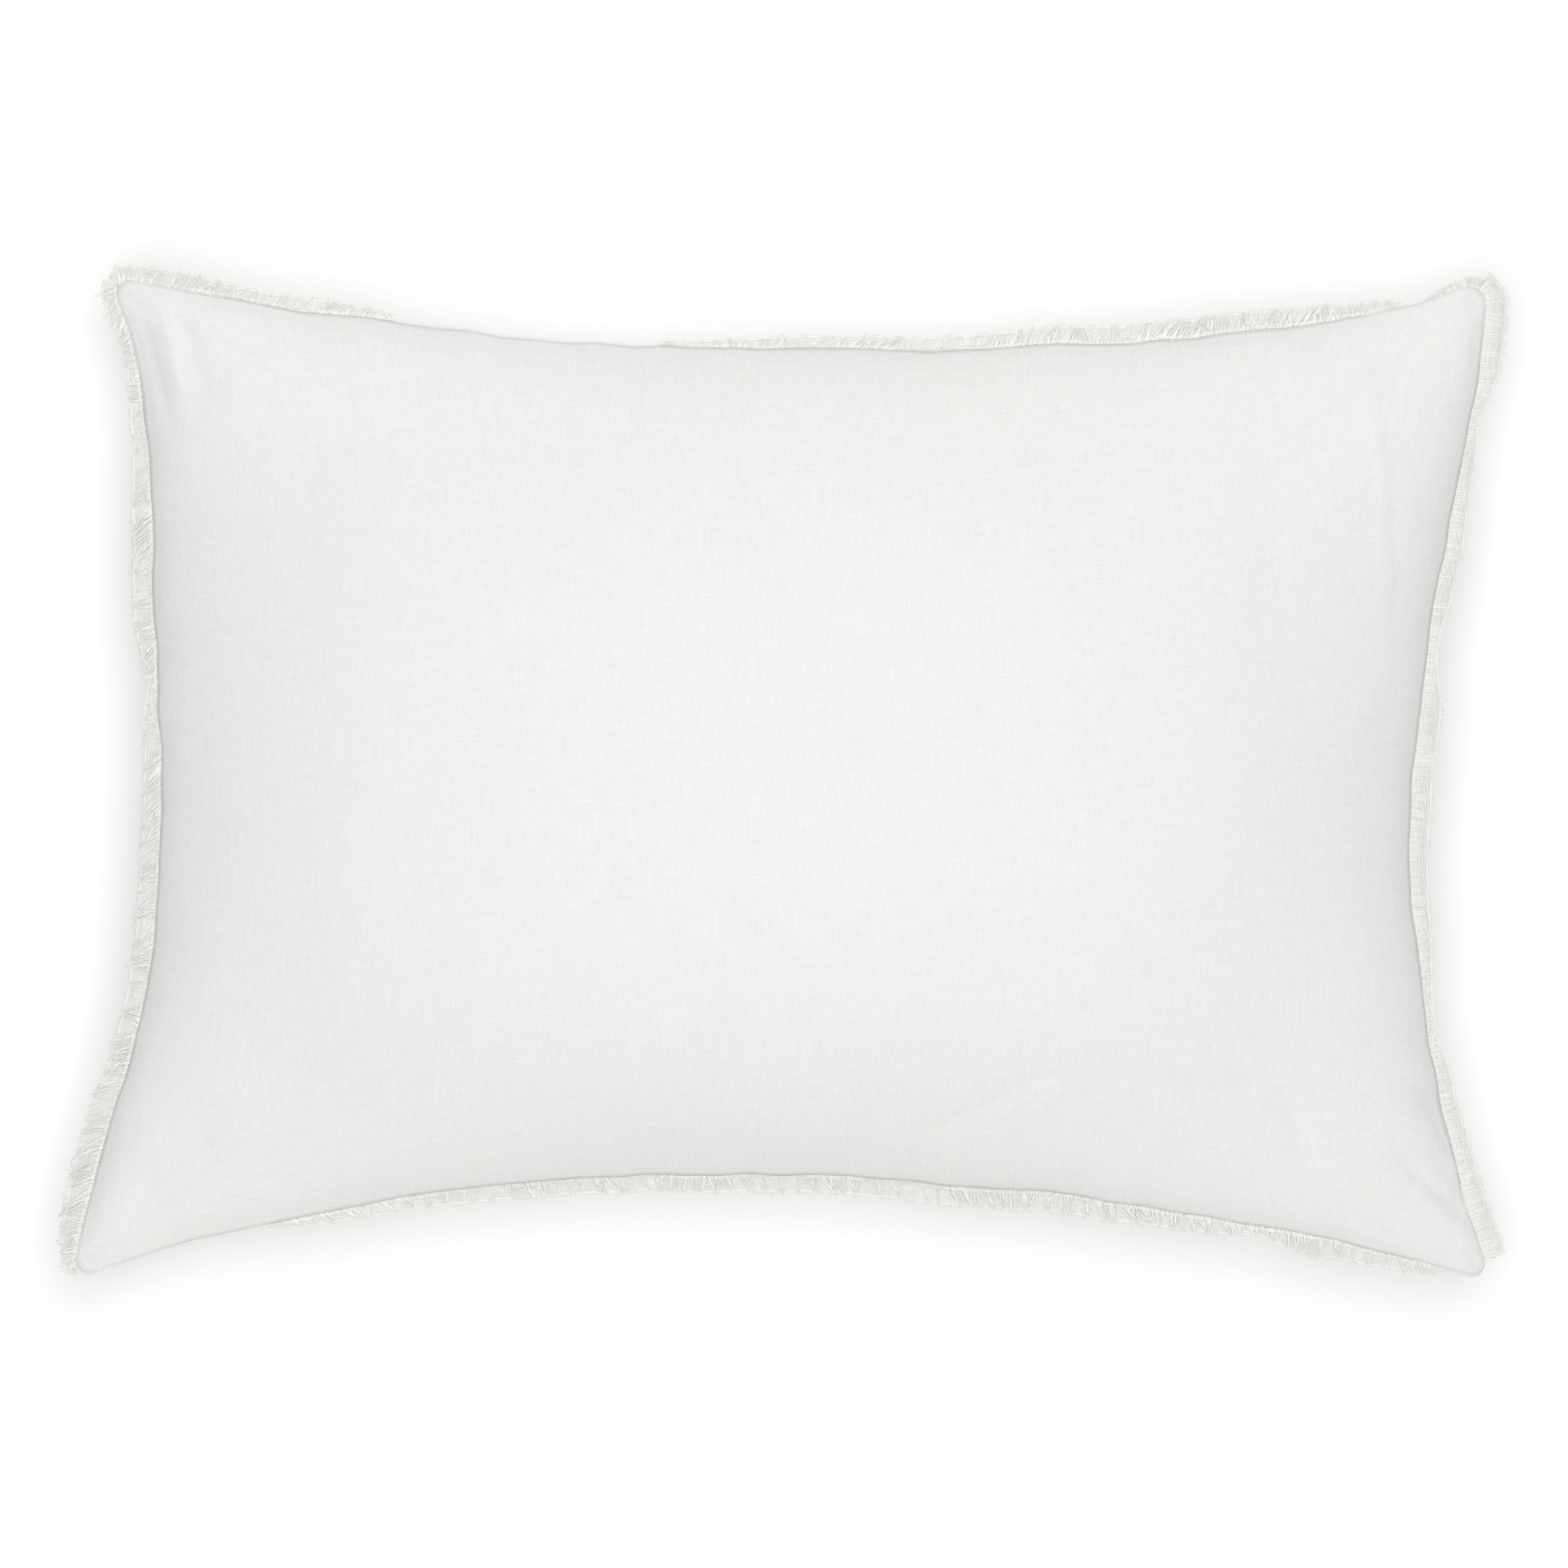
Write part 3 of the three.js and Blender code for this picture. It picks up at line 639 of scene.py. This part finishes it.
def make_back(name, node, side):
    points, flat = back_panel(side)
    panel = grid_object(name, points, flat, flip=side < 0)
    thicken(panel, LINEN)
    place_piece(panel, "pillow", [node], LINEN_LOOK)
    return panel


# ---------------------------------------------------------------- frayed trim

def seam_side(side, w):
    """The seam's line along one side, with the ways along it and out from it. w runs from 0 to 1."""
    run = 2 * w - 1
    one = np.ones_like(w)
    line = {
        "left": lambda r: plan(-one, r),
        "right": lambda r: plan(one, r),
        "bottom": lambda r: plan(r, -one),
        "top": lambda r: plan(r, one),
    }[side]
    place = line(run)
    tangent = np.gradient(place, axis=0)
    tangent = tangent / np.linalg.norm(tangent, axis=-1, keepdims=True)
    turn = 1 if side in ("right", "bottom") else -1
    out = turn * np.stack([tangent[:, 1], -tangent[:, 0]], axis=-1)
    flat = np.zeros((len(w), 1))
    return np.hstack([place, flat + SEAM_Z]), np.hstack([tangent, flat]), np.hstack([out, flat])


def side_length(side):
    place = seam_side(side, np.linspace(0, 1, 400))[0]
    return np.linalg.norm(np.diff(place, axis=0), axis=1).sum()


def tuft_pull(position, rng):
    """How far along the side each yarn's tip is drawn to its tuft's middle, and which tuft it is in."""
    widths = rng.uniform(0.5, 1.5, int(position[-1] / TUFT) * 2 + 4) * TUFT
    edges = np.cumsum(widths)
    tuft = np.searchsorted(edges, position)
    middle = edges[tuft] - widths[tuft] / 2
    gather = rng.uniform(*GATHER, len(widths))[tuft]
    return (middle - position) * gather, tuft


def trim_profile(side, w):
    """The trim's length along a side, and how far it is tucked under, from 0 to 1."""
    spec = TRIMS[side]
    share, length = np.array(spec["lengths"], float).T
    length = np.interp(w, share, length) * MM
    tucked = np.zeros_like(w)
    for start, end in spec["tucked"]:
        tucked = np.maximum(tucked, smooth((w - start) / 0.02) * smooth((end - w) / 0.02))
        tucked = np.where((start == 0) & (w < 0.02), 1, tucked)
        tucked = np.where((end == 1) & (w > 0.98), 1, tucked)
    return length, tucked


def yarn_layer(side, layer, rng):
    """One panel's frayed edge: its yarns' paths and radii, and the way along the side at each yarn."""
    spec = TRIMS[side]
    woven = layer == 1 or spec["woven"]
    loose = WOVEN_LOOSENESS if woven else 1.0
    total = side_length(side)
    w = np.arange(YARN_PITCH / 2, total, YARN_PITCH) / total
    w = np.clip(w + rng.normal(0, YARN_JITTER * YARN_PITCH / total, len(w)), 0, 1)
    w.sort()
    count = len(w)
    start, tangent, out = seam_side(side, w)
    position = w * total
    length, tucked = trim_profile(side, w)
    pull, tuft = tuft_pull(position, rng)
    tufts = tuft.max() + 1
    tuft_lean = rng.normal(0, TUFT_LEAN, tufts)[tuft]
    slow_lean = SLOW_LEAN * bumps(position, position * 0, SLOW_LEAN_SIZE, 40 + layer)
    lean = loose * (tuft_lean + slow_lean + rng.normal(0, YARN_LEAN, count))
    lean = lean + spec["lean"] * (1 - 0.75 * layer)
    length = length * (1 + loose * TUFT_LENGTH_SPREAD * rng.normal(0, 1, tufts)[tuft])
    length = length * (1 + YARN_LENGTH_SPREAD * rng.normal(0, 1, count)) * (1 if woven else UPPER_REACH)
    length = np.maximum(length, SHORTEST_YARN)
    slow_drop = SLOW_DROP * bumps(position, position * 0, SLOW_DROP_SIZE, 50 + layer)
    drop = DROP * (1 + layer) + loose * (slow_drop + rng.normal(0, YARN_DROP, count))
    drop = drop * (1 - tucked) + TUCKED_DROP * tucked
    curl = loose * rng.normal(0, YARN_CURL, count)
    u = np.linspace(0, 1, YARN_STEPS)[None, :]
    along = (lean * length)[:, None] * u ** 1.3 + loose * pull[:, None] * u ** 1.6
    along = along * (1 - 0.7 * tucked[:, None]) + curl[:, None] * np.sin(math.pi * u)
    reach = length[:, None] * u
    fall = drop[:, None] * (0.7 + 0.5 * u)
    path = start[:, None] - YARN_TUCK * out[:, None]
    path = path + out[:, None] * (reach * np.cos(fall))[..., None]
    path = path + tangent[:, None] * along[..., None]
    over = np.where(np.arange(count) % 2, 1, -1)[:, None]
    weave = WEAVE_HEIGHT * over * np.cos(math.pi * 3 * u)
    path[..., 2] += -reach * np.sin(fall) + weave - LAYER_GAP * layer
    radii = YARN_RADIUS * rng.uniform(0.75, 1.25, count)[:, None] * (1 - 0.55 * u ** 4)
    return path, radii, tangent


def cross_threads(side, layer, rng):
    """The threads along the seam that are still woven in at the foot of one layer of the trim."""
    total = side_length(side)
    step = YARN_PITCH * (1 + layer)
    w = np.arange(step / 2, total, step) / total
    start, tangent, out = seam_side(side, w)
    length, tucked = trim_profile(side, w)
    if layer:
        count = int(WOVEN_SHARE * length.max() / YARN_PITCH)
    else:
        count = WOVEN_CROSSINGS if TRIMS[side]["woven"] else LOOSE_CROSSINGS
    furthest = (WOVEN_SHARE if layer else WOVEN_UPPER_SHARE) * length - YARN_TUCK
    drop = (DROP * (1 + layer) * (1 - tucked) + TUCKED_DROP * tucked) * 0.85
    paths = []
    for number in range(count):
        reach = np.minimum(0.3 * MM + number * YARN_PITCH * 0.95, furthest)
        path = start + out * (reach * np.cos(drop))[:, None]
        over = np.where((np.arange(len(w)) + number) % 2, 1, -1)
        path[:, 2] += 0.17 * MM * over - reach * np.sin(drop) - LAYER_GAP * layer
        path = path + out * (0.08 * MM * bumps(w * total, w * 0, 3 * MM, 60 + number))[:, None]
        paths.append(path)
    radii = YARN_RADIUS * rng.uniform(0.85, 1.2, (len(paths), len(w)))
    return np.array(paths), radii


def make_trim(side, number):
    rng = np.random.default_rng(100 + number)
    meshes = []
    for layer in (0, 1):
        path, radii, tangent = yarn_layer(side, layer, rng)
        meshes.append(tubes(path, radii, 4, np.repeat(tangent[:, None], YARN_STEPS, axis=1)))
        path, radii = cross_threads(side, layer, rng)
        meshes.append(tubes(path, radii, 4, np.array([0.0, 0.0, 1.0])))
    trim = object_of("frayed_yarns_" + side, *joined(*meshes))
    return place_piece(trim, "pillow", ["frayed_trim_" + side], YARN_LOOK)


# ---------------------------------------------------------------- stitches

def stitches(points, pitch, length, radius, lift=0.0):
    """Short threads laid end to end with gaps along a line of points. lift raises their ends."""
    step = np.linalg.norm(np.diff(points, axis=0), axis=1)
    run = np.concatenate([[0], np.cumsum(step)])
    middles = np.arange(pitch / 2, run[-1] - length / 2, pitch)
    shape = np.linspace(-0.5, 0.5, 5)
    where = middles[:, None] + length * shape[None]
    paths = np.stack([np.interp(where, run, points[:, axis]) for axis in range(3)], axis=-1)
    paths[..., 2] += lift * 4 * shape ** 2
    radii = np.full(paths.shape[:2], radius) * (1 - 0.25 * (2 * shape) ** 2)
    return tubes(paths, radii, 6, np.array([0.0, 0.3, 1.0]))


def ring_at(share, height):
    """A closed line round the panels at a share of the way out."""
    run = np.linspace(-1, 1, 120)
    one = np.ones_like(run)
    s = share * np.concatenate([run, one, -run, -one])
    t = share * np.concatenate([-one, run, one, -run])
    place = plan(s, t)
    return np.concatenate([place, np.full((len(s), 1), height)], axis=1)


def make_seam_threads():
    line = ring_at(0.985, SEAM_Z)
    cover = object_of("cover_seam_stitches", *stitches(line, *SEAM_STITCH))
    place_piece(cover, "pillow", ["cover_closing_seam"], THREAD_LOOK)
    line = ring_at(INSERT_SHARE * 0.99, SEAM_Z)
    insert = object_of("insert_seam_stitches", *stitches(line, *INSERT_STITCH))
    place_piece(insert, "pillow", ["insert_closing_seam"], THREAD_LOOK)


# ---------------------------------------------------------------- insert

def insert_grid(columns, rows):
    s, t = np.meshgrid(np.linspace(-1, 1, columns), np.linspace(-1, 1, rows))
    open_share = np.sqrt(np.maximum(0, (1 - np.abs(s) ** 16) * (1 - np.abs(t) ** 16)))
    return s, t, open_share


def insert_front(front, s, t, open_share, gap):
    """A surface inside the cover's front, by this gap."""
    place = sampled(front, s * INSERT_SHARE, t * INSERT_SHARE)
    place[..., 2] = SEAM_Z + (place[..., 2] - SEAM_Z - gap) * open_share
    return place


def insert_back(s, t, open_share, gap):
    """A surface inside the cover's back, by this gap, that gives way to the zip's slider."""
    s = s * INSERT_SHARE
    t = t * INSERT_SHARE
    place = plan(s, t)
    past_end = RECESS_END + 3 * RECESS_SLOPE - np.abs(s * MIDDLE_X)
    past_side = RECESS_HALF + 2.4 * RECESS_SLOPE - np.abs(t * MIDDLE_Y - ZIP_Y)
    wide = smooth(past_end / RECESS_SLOPE) * smooth(past_side / (1.6 * RECESS_SLOPE))
    wide = np.maximum(recess_share(s * MIDDLE_X * 0.985, t * MIDDLE_Y), wide)
    over_zip = SLIDER_TOP + SLIDER_SPACE - INSERT_GAP_BACK
    height = np.maximum(back_height(s, t), over_zip * wide) + gap
    height = SEAM_Z + (height - SEAM_Z) * open_share
    return np.concatenate([place, height[..., None]], axis=-1)


def make_insert(front):
    s, t, open_share = insert_grid(*INSERT_GRID)
    flat = np.stack([s * FLAT_X / 2, t * FLAT_Y / 2], axis=-1) * INSERT_SHARE
    top = insert_front(front, s, t, open_share, INSERT_GAP_FRONT)
    ticking_front = grid_object("ticking_front", top, flat)
    thicken(ticking_front, TICKING)
    ticking_look = ticking_material()
    place_piece(ticking_front, "pillow", ["insert_ticking_front"], ticking_look)
    under = insert_back(s, t, open_share, INSERT_GAP_BACK)
    ticking_back = grid_object("ticking_back", under, flat, flip=True)
    thicken(ticking_back, TICKING)
    place_piece(ticking_back, "pillow", ["insert_ticking_back"], ticking_look)
    fill = make_fill(front, s, t, open_share)
    return ticking_front, ticking_back, fill


def make_fill(front, s, t, open_share):
    """The feathers, as one lumpy mass inside the ticking."""
    inner_s = s * FILL_SHARE[0]
    inner_t = t * FILL_SHARE[1]
    lumps = 0.5 + 0.5 * bumps(s * HALF_X, t * HALF_Y, LUMP_SIZE, 31)
    gap = INSERT_GAP_FRONT + FILL_GAP + FRONT_LUMPS * lumps
    top = insert_front(front, inner_s, inner_t, open_share, gap)
    gap = INSERT_GAP_BACK + FILL_GAP + BACK_LUMPS * lumps
    under = insert_back(inner_s, inner_t, open_share, gap)
    rows, columns = s.shape
    faces = grid_faces(rows, columns) + grid_faces(rows, columns, True, rows * columns)
    fill = object_of("feather_fill", np.concatenate([top.reshape(-1, 3), under.reshape(-1, 3)]), faces)
    weld = fill.modifiers.new("weld", "WELD")
    weld.merge_threshold = 0.01 * MM
    return place_piece(fill, "pillow", ["insert_fill"], fill_material())


# ---------------------------------------------------------------- zip

def make_tape(side, node):
    """A woven tape, which waves a little between its stitches."""
    low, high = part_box(node)
    columns = 208
    rows = 9
    x, y = np.meshgrid(np.linspace(low.x, high.x, columns), np.linspace(low.y, high.y, rows))
    height = low.z + 0.06 * MM * bumps(x, y * 0, 9 * MM, 71)
    points = np.stack([x, y, height], axis=-1)
    flat = np.stack([x, y - low.y], axis=-1)
    tape = grid_object("woven_tape_" + side, points, flat, flip=True)
    thicken(tape, TAPE)
    return place_piece(tape, "pillow", [node], TAPE_LOOK)


def make_coil(side, node):
    """The row of teeth: one nylon wire wound in flattened turns."""
    low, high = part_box(node)
    turns = int((high.x - low.x - 2 * WIRE) / COIL_PITCH)
    turn = np.arange(turns * POINTS_A_TURN) / POINTS_A_TURN
    angle = 2 * math.pi * turn + (math.pi if side == "lower" else 0)
    half_y = (high.y - low.y) / 2 - WIRE
    half_z = (high.z - low.z) / 2 - WIRE
    turned = 1 if side == "upper" else -1
    x = low.x + WIRE + COIL_PITCH * turn
    y = (low.y + high.y) / 2 + turned * half_y * np.cos(angle)
    z = (low.z + high.z) / 2 + half_z * np.sign(np.sin(angle)) * np.abs(np.sin(angle)) ** 0.6
    path = np.stack([x, y, z], axis=-1)[None]
    radii = np.full(path.shape[:2], WIRE) * (1 + 0.12 * np.cos(angle)[None])
    coil = object_of("coil_teeth_" + side, *tubes(path, radii, 6, np.array([1.0, 0.0, 0.0])))
    return place_piece(coil, "pillow", [node], COIL_LOOK)


def make_zip_stitches(side, node):
    low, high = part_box(node)
    y = (low.y + high.y) / 2
    z = RECESS_Z - 0.1 * MM
    line = np.array([[low.x, y, z], [high.x, y, z]])
    rows = object_of("tape_stitches_" + side, *stitches(line, *TAPE_STITCH, TAPE_STITCH_LIFT))
    return place_piece(rows, "pillow", [node], THREAD_LOOK)


def make_metal_part(node, body, bevel):
    """A metal part with its edges eased."""
    part = bpy.data.objects.new(node + "_eased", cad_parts[node].data.copy())
    bpy.context.scene.collection.objects.link(part)
    ease = part.modifiers.new("eased_edges", "BEVEL")
    ease.width = bevel
    ease.segments = 2
    ease.limit_method = "ANGLE"
    return place_piece(part, body, [node], METAL_LOOK)


def make_label():
    """A small woven label, sewn in along its top edge, its free end curling a little."""
    columns = 46
    rows = 27
    across = np.linspace(LABEL_LOW.x, LABEL_HIGH.x, columns)
    x, y = np.meshgrid(across, np.linspace(LABEL_LOW.y, LABEL_HIGH.y, rows))
    free = (LABEL_HIGH.y - y) / (LABEL_HIGH.y - LABEL_LOW.y)
    height = LABEL_LOW.z + 0.18 * MM * free * (1 + bumps(x, y, 12 * MM, 81))
    flat = np.stack([x - LABEL_LOW.x, y - LABEL_LOW.y], axis=-1)
    label = grid_object("satin_label", np.stack([x, y, height], axis=-1), flat, flip=True)
    thicken(label, LABEL)
    return place_piece(label, "pillow", ["care_label"], label_material())


# ---------------------------------------------------------------- materials

class Look:
    """A material under construction, with short ways to add its nodes."""

    def __init__(self, name, roughness, specular=0.2):
        self.material = bpy.data.materials.new(name)
        self.material.use_nodes = True
        self.nodes = self.material.node_tree.nodes
        self.links = self.material.node_tree.links
        self.shader = self.nodes["Principled BSDF"]
        self.shader.inputs["Roughness"].default_value = roughness
        self.shader.inputs["Specular IOR Level"].default_value = specular

    def node(self, kind, inputs=(), **settings):
        made = self.nodes.new(kind)
        for name, value in settings.items():
            setattr(made, name, value)
        for socket, value in dict(inputs).items():
            if isinstance(value, bpy.types.NodeSocket):
                self.links.new(value, made.inputs[socket])
            else:
                made.inputs[socket].default_value = value
        return made

    def flat_place(self):
        return self.node("ShaderNodeUVMap", uv_map="flat").outputs["UV"]

    def object_place(self):
        return self.node("ShaderNodeTexCoord").outputs["Object"]

    def noise(self, place, scale, detail=2.0, rough=0.5):
        """Noise that is finer along an axis, the larger that axis's scale is, per metre."""
        sized = self.node("ShaderNodeMapping", {"Vector": place, "Scale": scale}).outputs["Vector"]
        inputs = {"Vector": sized, "Scale": 1.0, "Detail": detail, "Roughness": rough}
        return self.node("ShaderNodeTexNoise", inputs).outputs["Fac"]

    def math(self, operation, a, b=0.0):
        return self.node("ShaderNodeMath", {0: a, 1: b}, operation=operation).outputs[0]

    def spread(self, value, low, high, to_low=0.0, to_high=1.0):
        inputs = {"Value": value, "From Min": low, "From Max": high, "To Min": to_low, "To Max": to_high}
        return self.node("ShaderNodeMapRange", inputs).outputs["Result"]

    def mix(self, share, a, b):
        made = self.node("ShaderNodeMix", data_type="RGBA")
        for socket, value in ((0, share), (6, a), (7, b)):
            if isinstance(value, bpy.types.NodeSocket):
                self.links.new(value, made.inputs[socket])
            else:
                made.inputs[socket].default_value = value if socket == 0 else (*value, 1)
        return made.outputs[2]

    def weave(self, place, pitch):
        """The height of a plain weave, from 0 to 1."""
        split = self.node("ShaderNodeSeparateXYZ", {0: place})
        turn = math.pi / pitch
        across = self.math("SINE", self.math("MULTIPLY", split.outputs["X"], turn))
        along = self.math("SINE", self.math("MULTIPLY", split.outputs["Y"], turn))
        return self.math("ADD", self.math("MULTIPLY", self.math("MULTIPLY", across, along), 0.5), 0.5)

    def finish(self, colour, height=None, depth=0.0, strength=1.0, roughness=None):
        self.links.new(colour, self.shader.inputs["Base Color"])
        if height is not None:
            inputs = {"Height": height, "Distance": depth, "Strength": strength}
            bump = self.node("ShaderNodeBump", inputs)
            self.links.new(bump.outputs["Normal"], self.shader.inputs["Normal"])
        if roughness is not None:
            self.links.new(roughness, self.shader.inputs["Roughness"])
        return self.material


def cloth_look(name, light, dark, pitch, slub, depth, sheen):
    """A woven cloth with thicker places in its threads both ways, as linen has.

    pitch is its threads' spacing, slub the strength of those places, and depth that of its relief.
    """
    look = Look(name, 0.92)
    look.shader.inputs["Sheen Weight"].default_value = sheen
    look.shader.inputs["Sheen Roughness"].default_value = 0.6
    place = look.flat_place()
    warp = look.noise(place, (1 / pitch, 150, 1), 1.5)
    weft = look.noise(place, (150, 1 / pitch, 1), 1.5)
    slubs_up = look.noise(place, (0.4 / pitch, 40, 1), 1.0)
    slubs_across = look.noise(place, (40, 0.4 / pitch, 1), 1.0)
    grain = look.noise(place, (0.9 / pitch, 0.9 / pitch, 1), 3.0, 0.7)
    cloud = look.noise(place, (9, 9, 1), 2.0)
    threads = look.math("ADD", look.math("MULTIPLY", warp, 1.2), weft)
    slubs = look.math("ADD", slubs_up, slubs_across)
    mixed = look.math("ADD", look.math("MULTIPLY", threads, 0.6), look.math("MULTIPLY", slubs, slub))
    mixed = look.math("ADD", mixed, look.math("MULTIPLY", grain, 0.6))
    mixed = look.math("ADD", mixed, look.math("MULTIPLY", cloud, 0.12))
    middle = 0.66 + slub + 0.3 + 0.06
    shade = look.spread(mixed, middle - 0.42, middle + 0.42)
    colour = look.mix(shade, dark, light)
    woven = look.math("MULTIPLY", look.weave(place, pitch), 0.5)
    height = look.math("ADD", woven, look.math("MULTIPLY", mixed, 0.6))
    roughness = look.spread(grain, 0.2, 0.8, 0.96, 0.86)
    return look.finish(colour, height, depth, 1.0, roughness)


def linen_material():
    light = (0.911, 0.908, 0.90)
    dark = (0.807, 0.802, 0.793)
    return cloth_look("slubby_linen", light, dark, 0.55 * MM, 0.45, 0.2 * MM, 0.08)


def ticking_material():
    return cloth_look("ticking", (0.88, 0.88, 0.87), (0.84, 0.84, 0.83), 0.25 * MM, 0.15, 0.06 * MM, 0.1)


def tape_material():
    return cloth_look("zip_tape", (0.80, 0.79, 0.76), (0.68, 0.67, 0.63), 0.4 * MM, 0.2, 0.2 * MM, 0.05)


def label_material():
    return cloth_look("label", (0.9, 0.9, 0.89), (0.85, 0.85, 0.83), 0.2 * MM, 0.1, 0.05 * MM, 0.3)


def fibre_look(name, light, dark, fineness, depth):
    """Twisted or loose fibres: a fine grain with a slower change of colour."""
    look = Look(name, 0.9)
    look.shader.inputs["Sheen Weight"].default_value = 0.1
    place = look.object_place()
    grain = look.noise(place, (fineness, fineness, fineness), 2.0, 0.6)
    patch = look.noise(place, (90, 90, 90), 1.0)
    both = look.math("ADD", grain, patch)
    colour = look.mix(look.spread(both, 0.6, 1.4), dark, light)
    return look.finish(colour, grain, depth, 0.6, look.spread(grain, 0.2, 0.8, 0.95, 0.82))


def fill_material():
    return fibre_look("feathers", (0.93, 0.925, 0.90), (0.80, 0.79, 0.75), 400, 1.2 * MM)


def coil_material():
    look = Look("nylon_coil", 0.35, 0.5)
    place = look.object_place()
    tint = look.noise(place, (700, 700, 700), 2.0)
    colour = look.mix(tint, (0.70, 0.69, 0.65), (0.80, 0.79, 0.76))
    return look.finish(colour, tint, 0.02 * MM, 0.4, look.spread(tint, 0.3, 0.7, 0.28, 0.45))


def metal_material():
    """Brushed nickel, rubbed brighter in places."""
    look = Look("brushed_nickel", 0.35, 0.5)
    look.shader.inputs["Metallic"].default_value = 1.0
    place = look.object_place()
    brushed = look.noise(place, (300, 9000, 9000), 2.0, 0.6)
    rubbed = look.noise(place, (260, 260, 260), 3.0, 0.6)
    colour = look.mix(look.spread(rubbed, 0.35, 0.65), (0.50, 0.48, 0.45), (0.68, 0.66, 0.62))
    scratches = look.math("MULTIPLY", brushed, 0.12)
    rough = look.math("ADD", look.spread(rubbed, 0.3, 0.7, 0.36, 0.2), scratches)
    return look.finish(colour, brushed, 0.02 * MM, 0.5, rough)


LINEN_LOOK = linen_material()
YARN_LOOK = fibre_look("frayed_yarn", (0.985, 0.983, 0.972), (0.945, 0.942, 0.93), 2500, 0.06 * MM)
THREAD_LOOK = fibre_look("sewing_thread", (0.84, 0.83, 0.80), (0.74, 0.73, 0.70), 3000, 0.08 * MM)
TAPE_LOOK = tape_material()
COIL_LOOK = coil_material()
METAL_LOOK = metal_material()


# ---------------------------------------------------------------- stage

def floor_material():
    """Painted board, with the faintest mottling."""
    look = Look("floor", 1.0, 0.0)
    mottle = look.noise(look.object_place(), (3, 3, 3), 2.0)
    shade = (FLOOR_ALBEDO, FLOOR_ALBEDO, FLOOR_ALBEDO)
    paler = (FLOOR_ALBEDO + 0.01, FLOOR_ALBEDO + 0.01, FLOOR_ALBEDO + 0.01)
    look.shader.inputs["Emission Color"].default_value = (1, 1, 0.99, 1)
    look.shader.inputs["Emission Strength"].default_value = FLOOR_GLOW
    return look.finish(look.mix(mottle, shade, paler))


def make_stage():
    bpy.ops.mesh.primitive_plane_add(size=24, location=(0, 0, -0.5 * MM))
    floor = bpy.context.object
    floor.name = "floor"
    floor.data.materials.append(floor_material())
    world = bpy.data.worlds.new("studio")
    bpy.context.scene.world = world
    world.use_nodes = True
    background = world.node_tree.nodes["Background"]
    background.inputs["Color"].default_value = WORLD_COLOUR
    background.inputs["Strength"].default_value = WORLD_LIGHT
    add_softbox("overhead_softbox", SOFTBOX_PLACE, SOFTBOX_SIZE, SOFTBOX_POWER)
    add_softbox("strip_beyond_top", STRIP_PLACE, STRIP_SIZE, STRIP_POWER)
    x, y, z = STRIP_PLACE
    add_softbox("strip_beyond_bottom", (x, -y, z), STRIP_SIZE, STRIP_POWER)


def add_softbox(name, place, size, power):
    """A rectangular light that faces the pillow."""
    light = bpy.data.lights.new(name, "AREA")
    light.shape = "RECTANGLE"
    light.size = size[0]
    light.size_y = size[1]
    light.energy = power
    obj = bpy.data.objects.new(name, light)
    bpy.context.scene.collection.objects.link(obj)
    obj.location = place
    direction = Vector((0, 0, SEAM_Z)) - Vector(place)
    obj.rotation_euler = direction.to_track_quat("-Z", "Y").to_euler()


def make_camera():
    """Straight above the pillow."""
    camera = bpy.data.cameras.new("camera")
    obj = bpy.data.objects.new("camera", camera)
    bpy.context.scene.collection.objects.link(obj)
    camera.sensor_width = 36
    camera.lens = camera.sensor_width * CAMERA_DISTANCE / (FULL_X * VIEW_SHARE)
    obj.location = (*LOOK_AT, SEAM_Z + CAMERA_DISTANCE)
    bpy.context.scene.camera = obj
    bpy.context.scene.view_settings.view_transform = "Standard"


# ---------------------------------------------------------------- the pillow

make_camera()
make_stage()

front_points, front_flat = front_shape()
linen_front = make_front(front_points, front_flat)
linen_upper = make_back("linen_back_upper", "back_panel_upper", 1)
linen_lower = make_back("linen_back_lower", "back_panel_lower", -1)
trims = [make_trim(side, number) for number, side in enumerate(TRIMS)]
make_seam_threads()
ticking_front, ticking_back, feathers = make_insert(front_points)

tapes = {side: make_tape(side, "zip_tape_" + side) for side in ("upper", "lower")}
for name in ("upper", "lower"):
    make_coil(name, "zip_coil_" + name)
    make_zip_stitches(name, "zip_stitching_" + name)
    make_metal_part("zip_top_stop_" + name, "pillow", EASE)
make_metal_part("zip_bottom_stop", "pillow", EASE)
make_metal_part("zip_slider", "slider", SLIDER_EASE)
make_metal_part("zip_pull_tab", "pull_tab", EASE)
label = make_label()
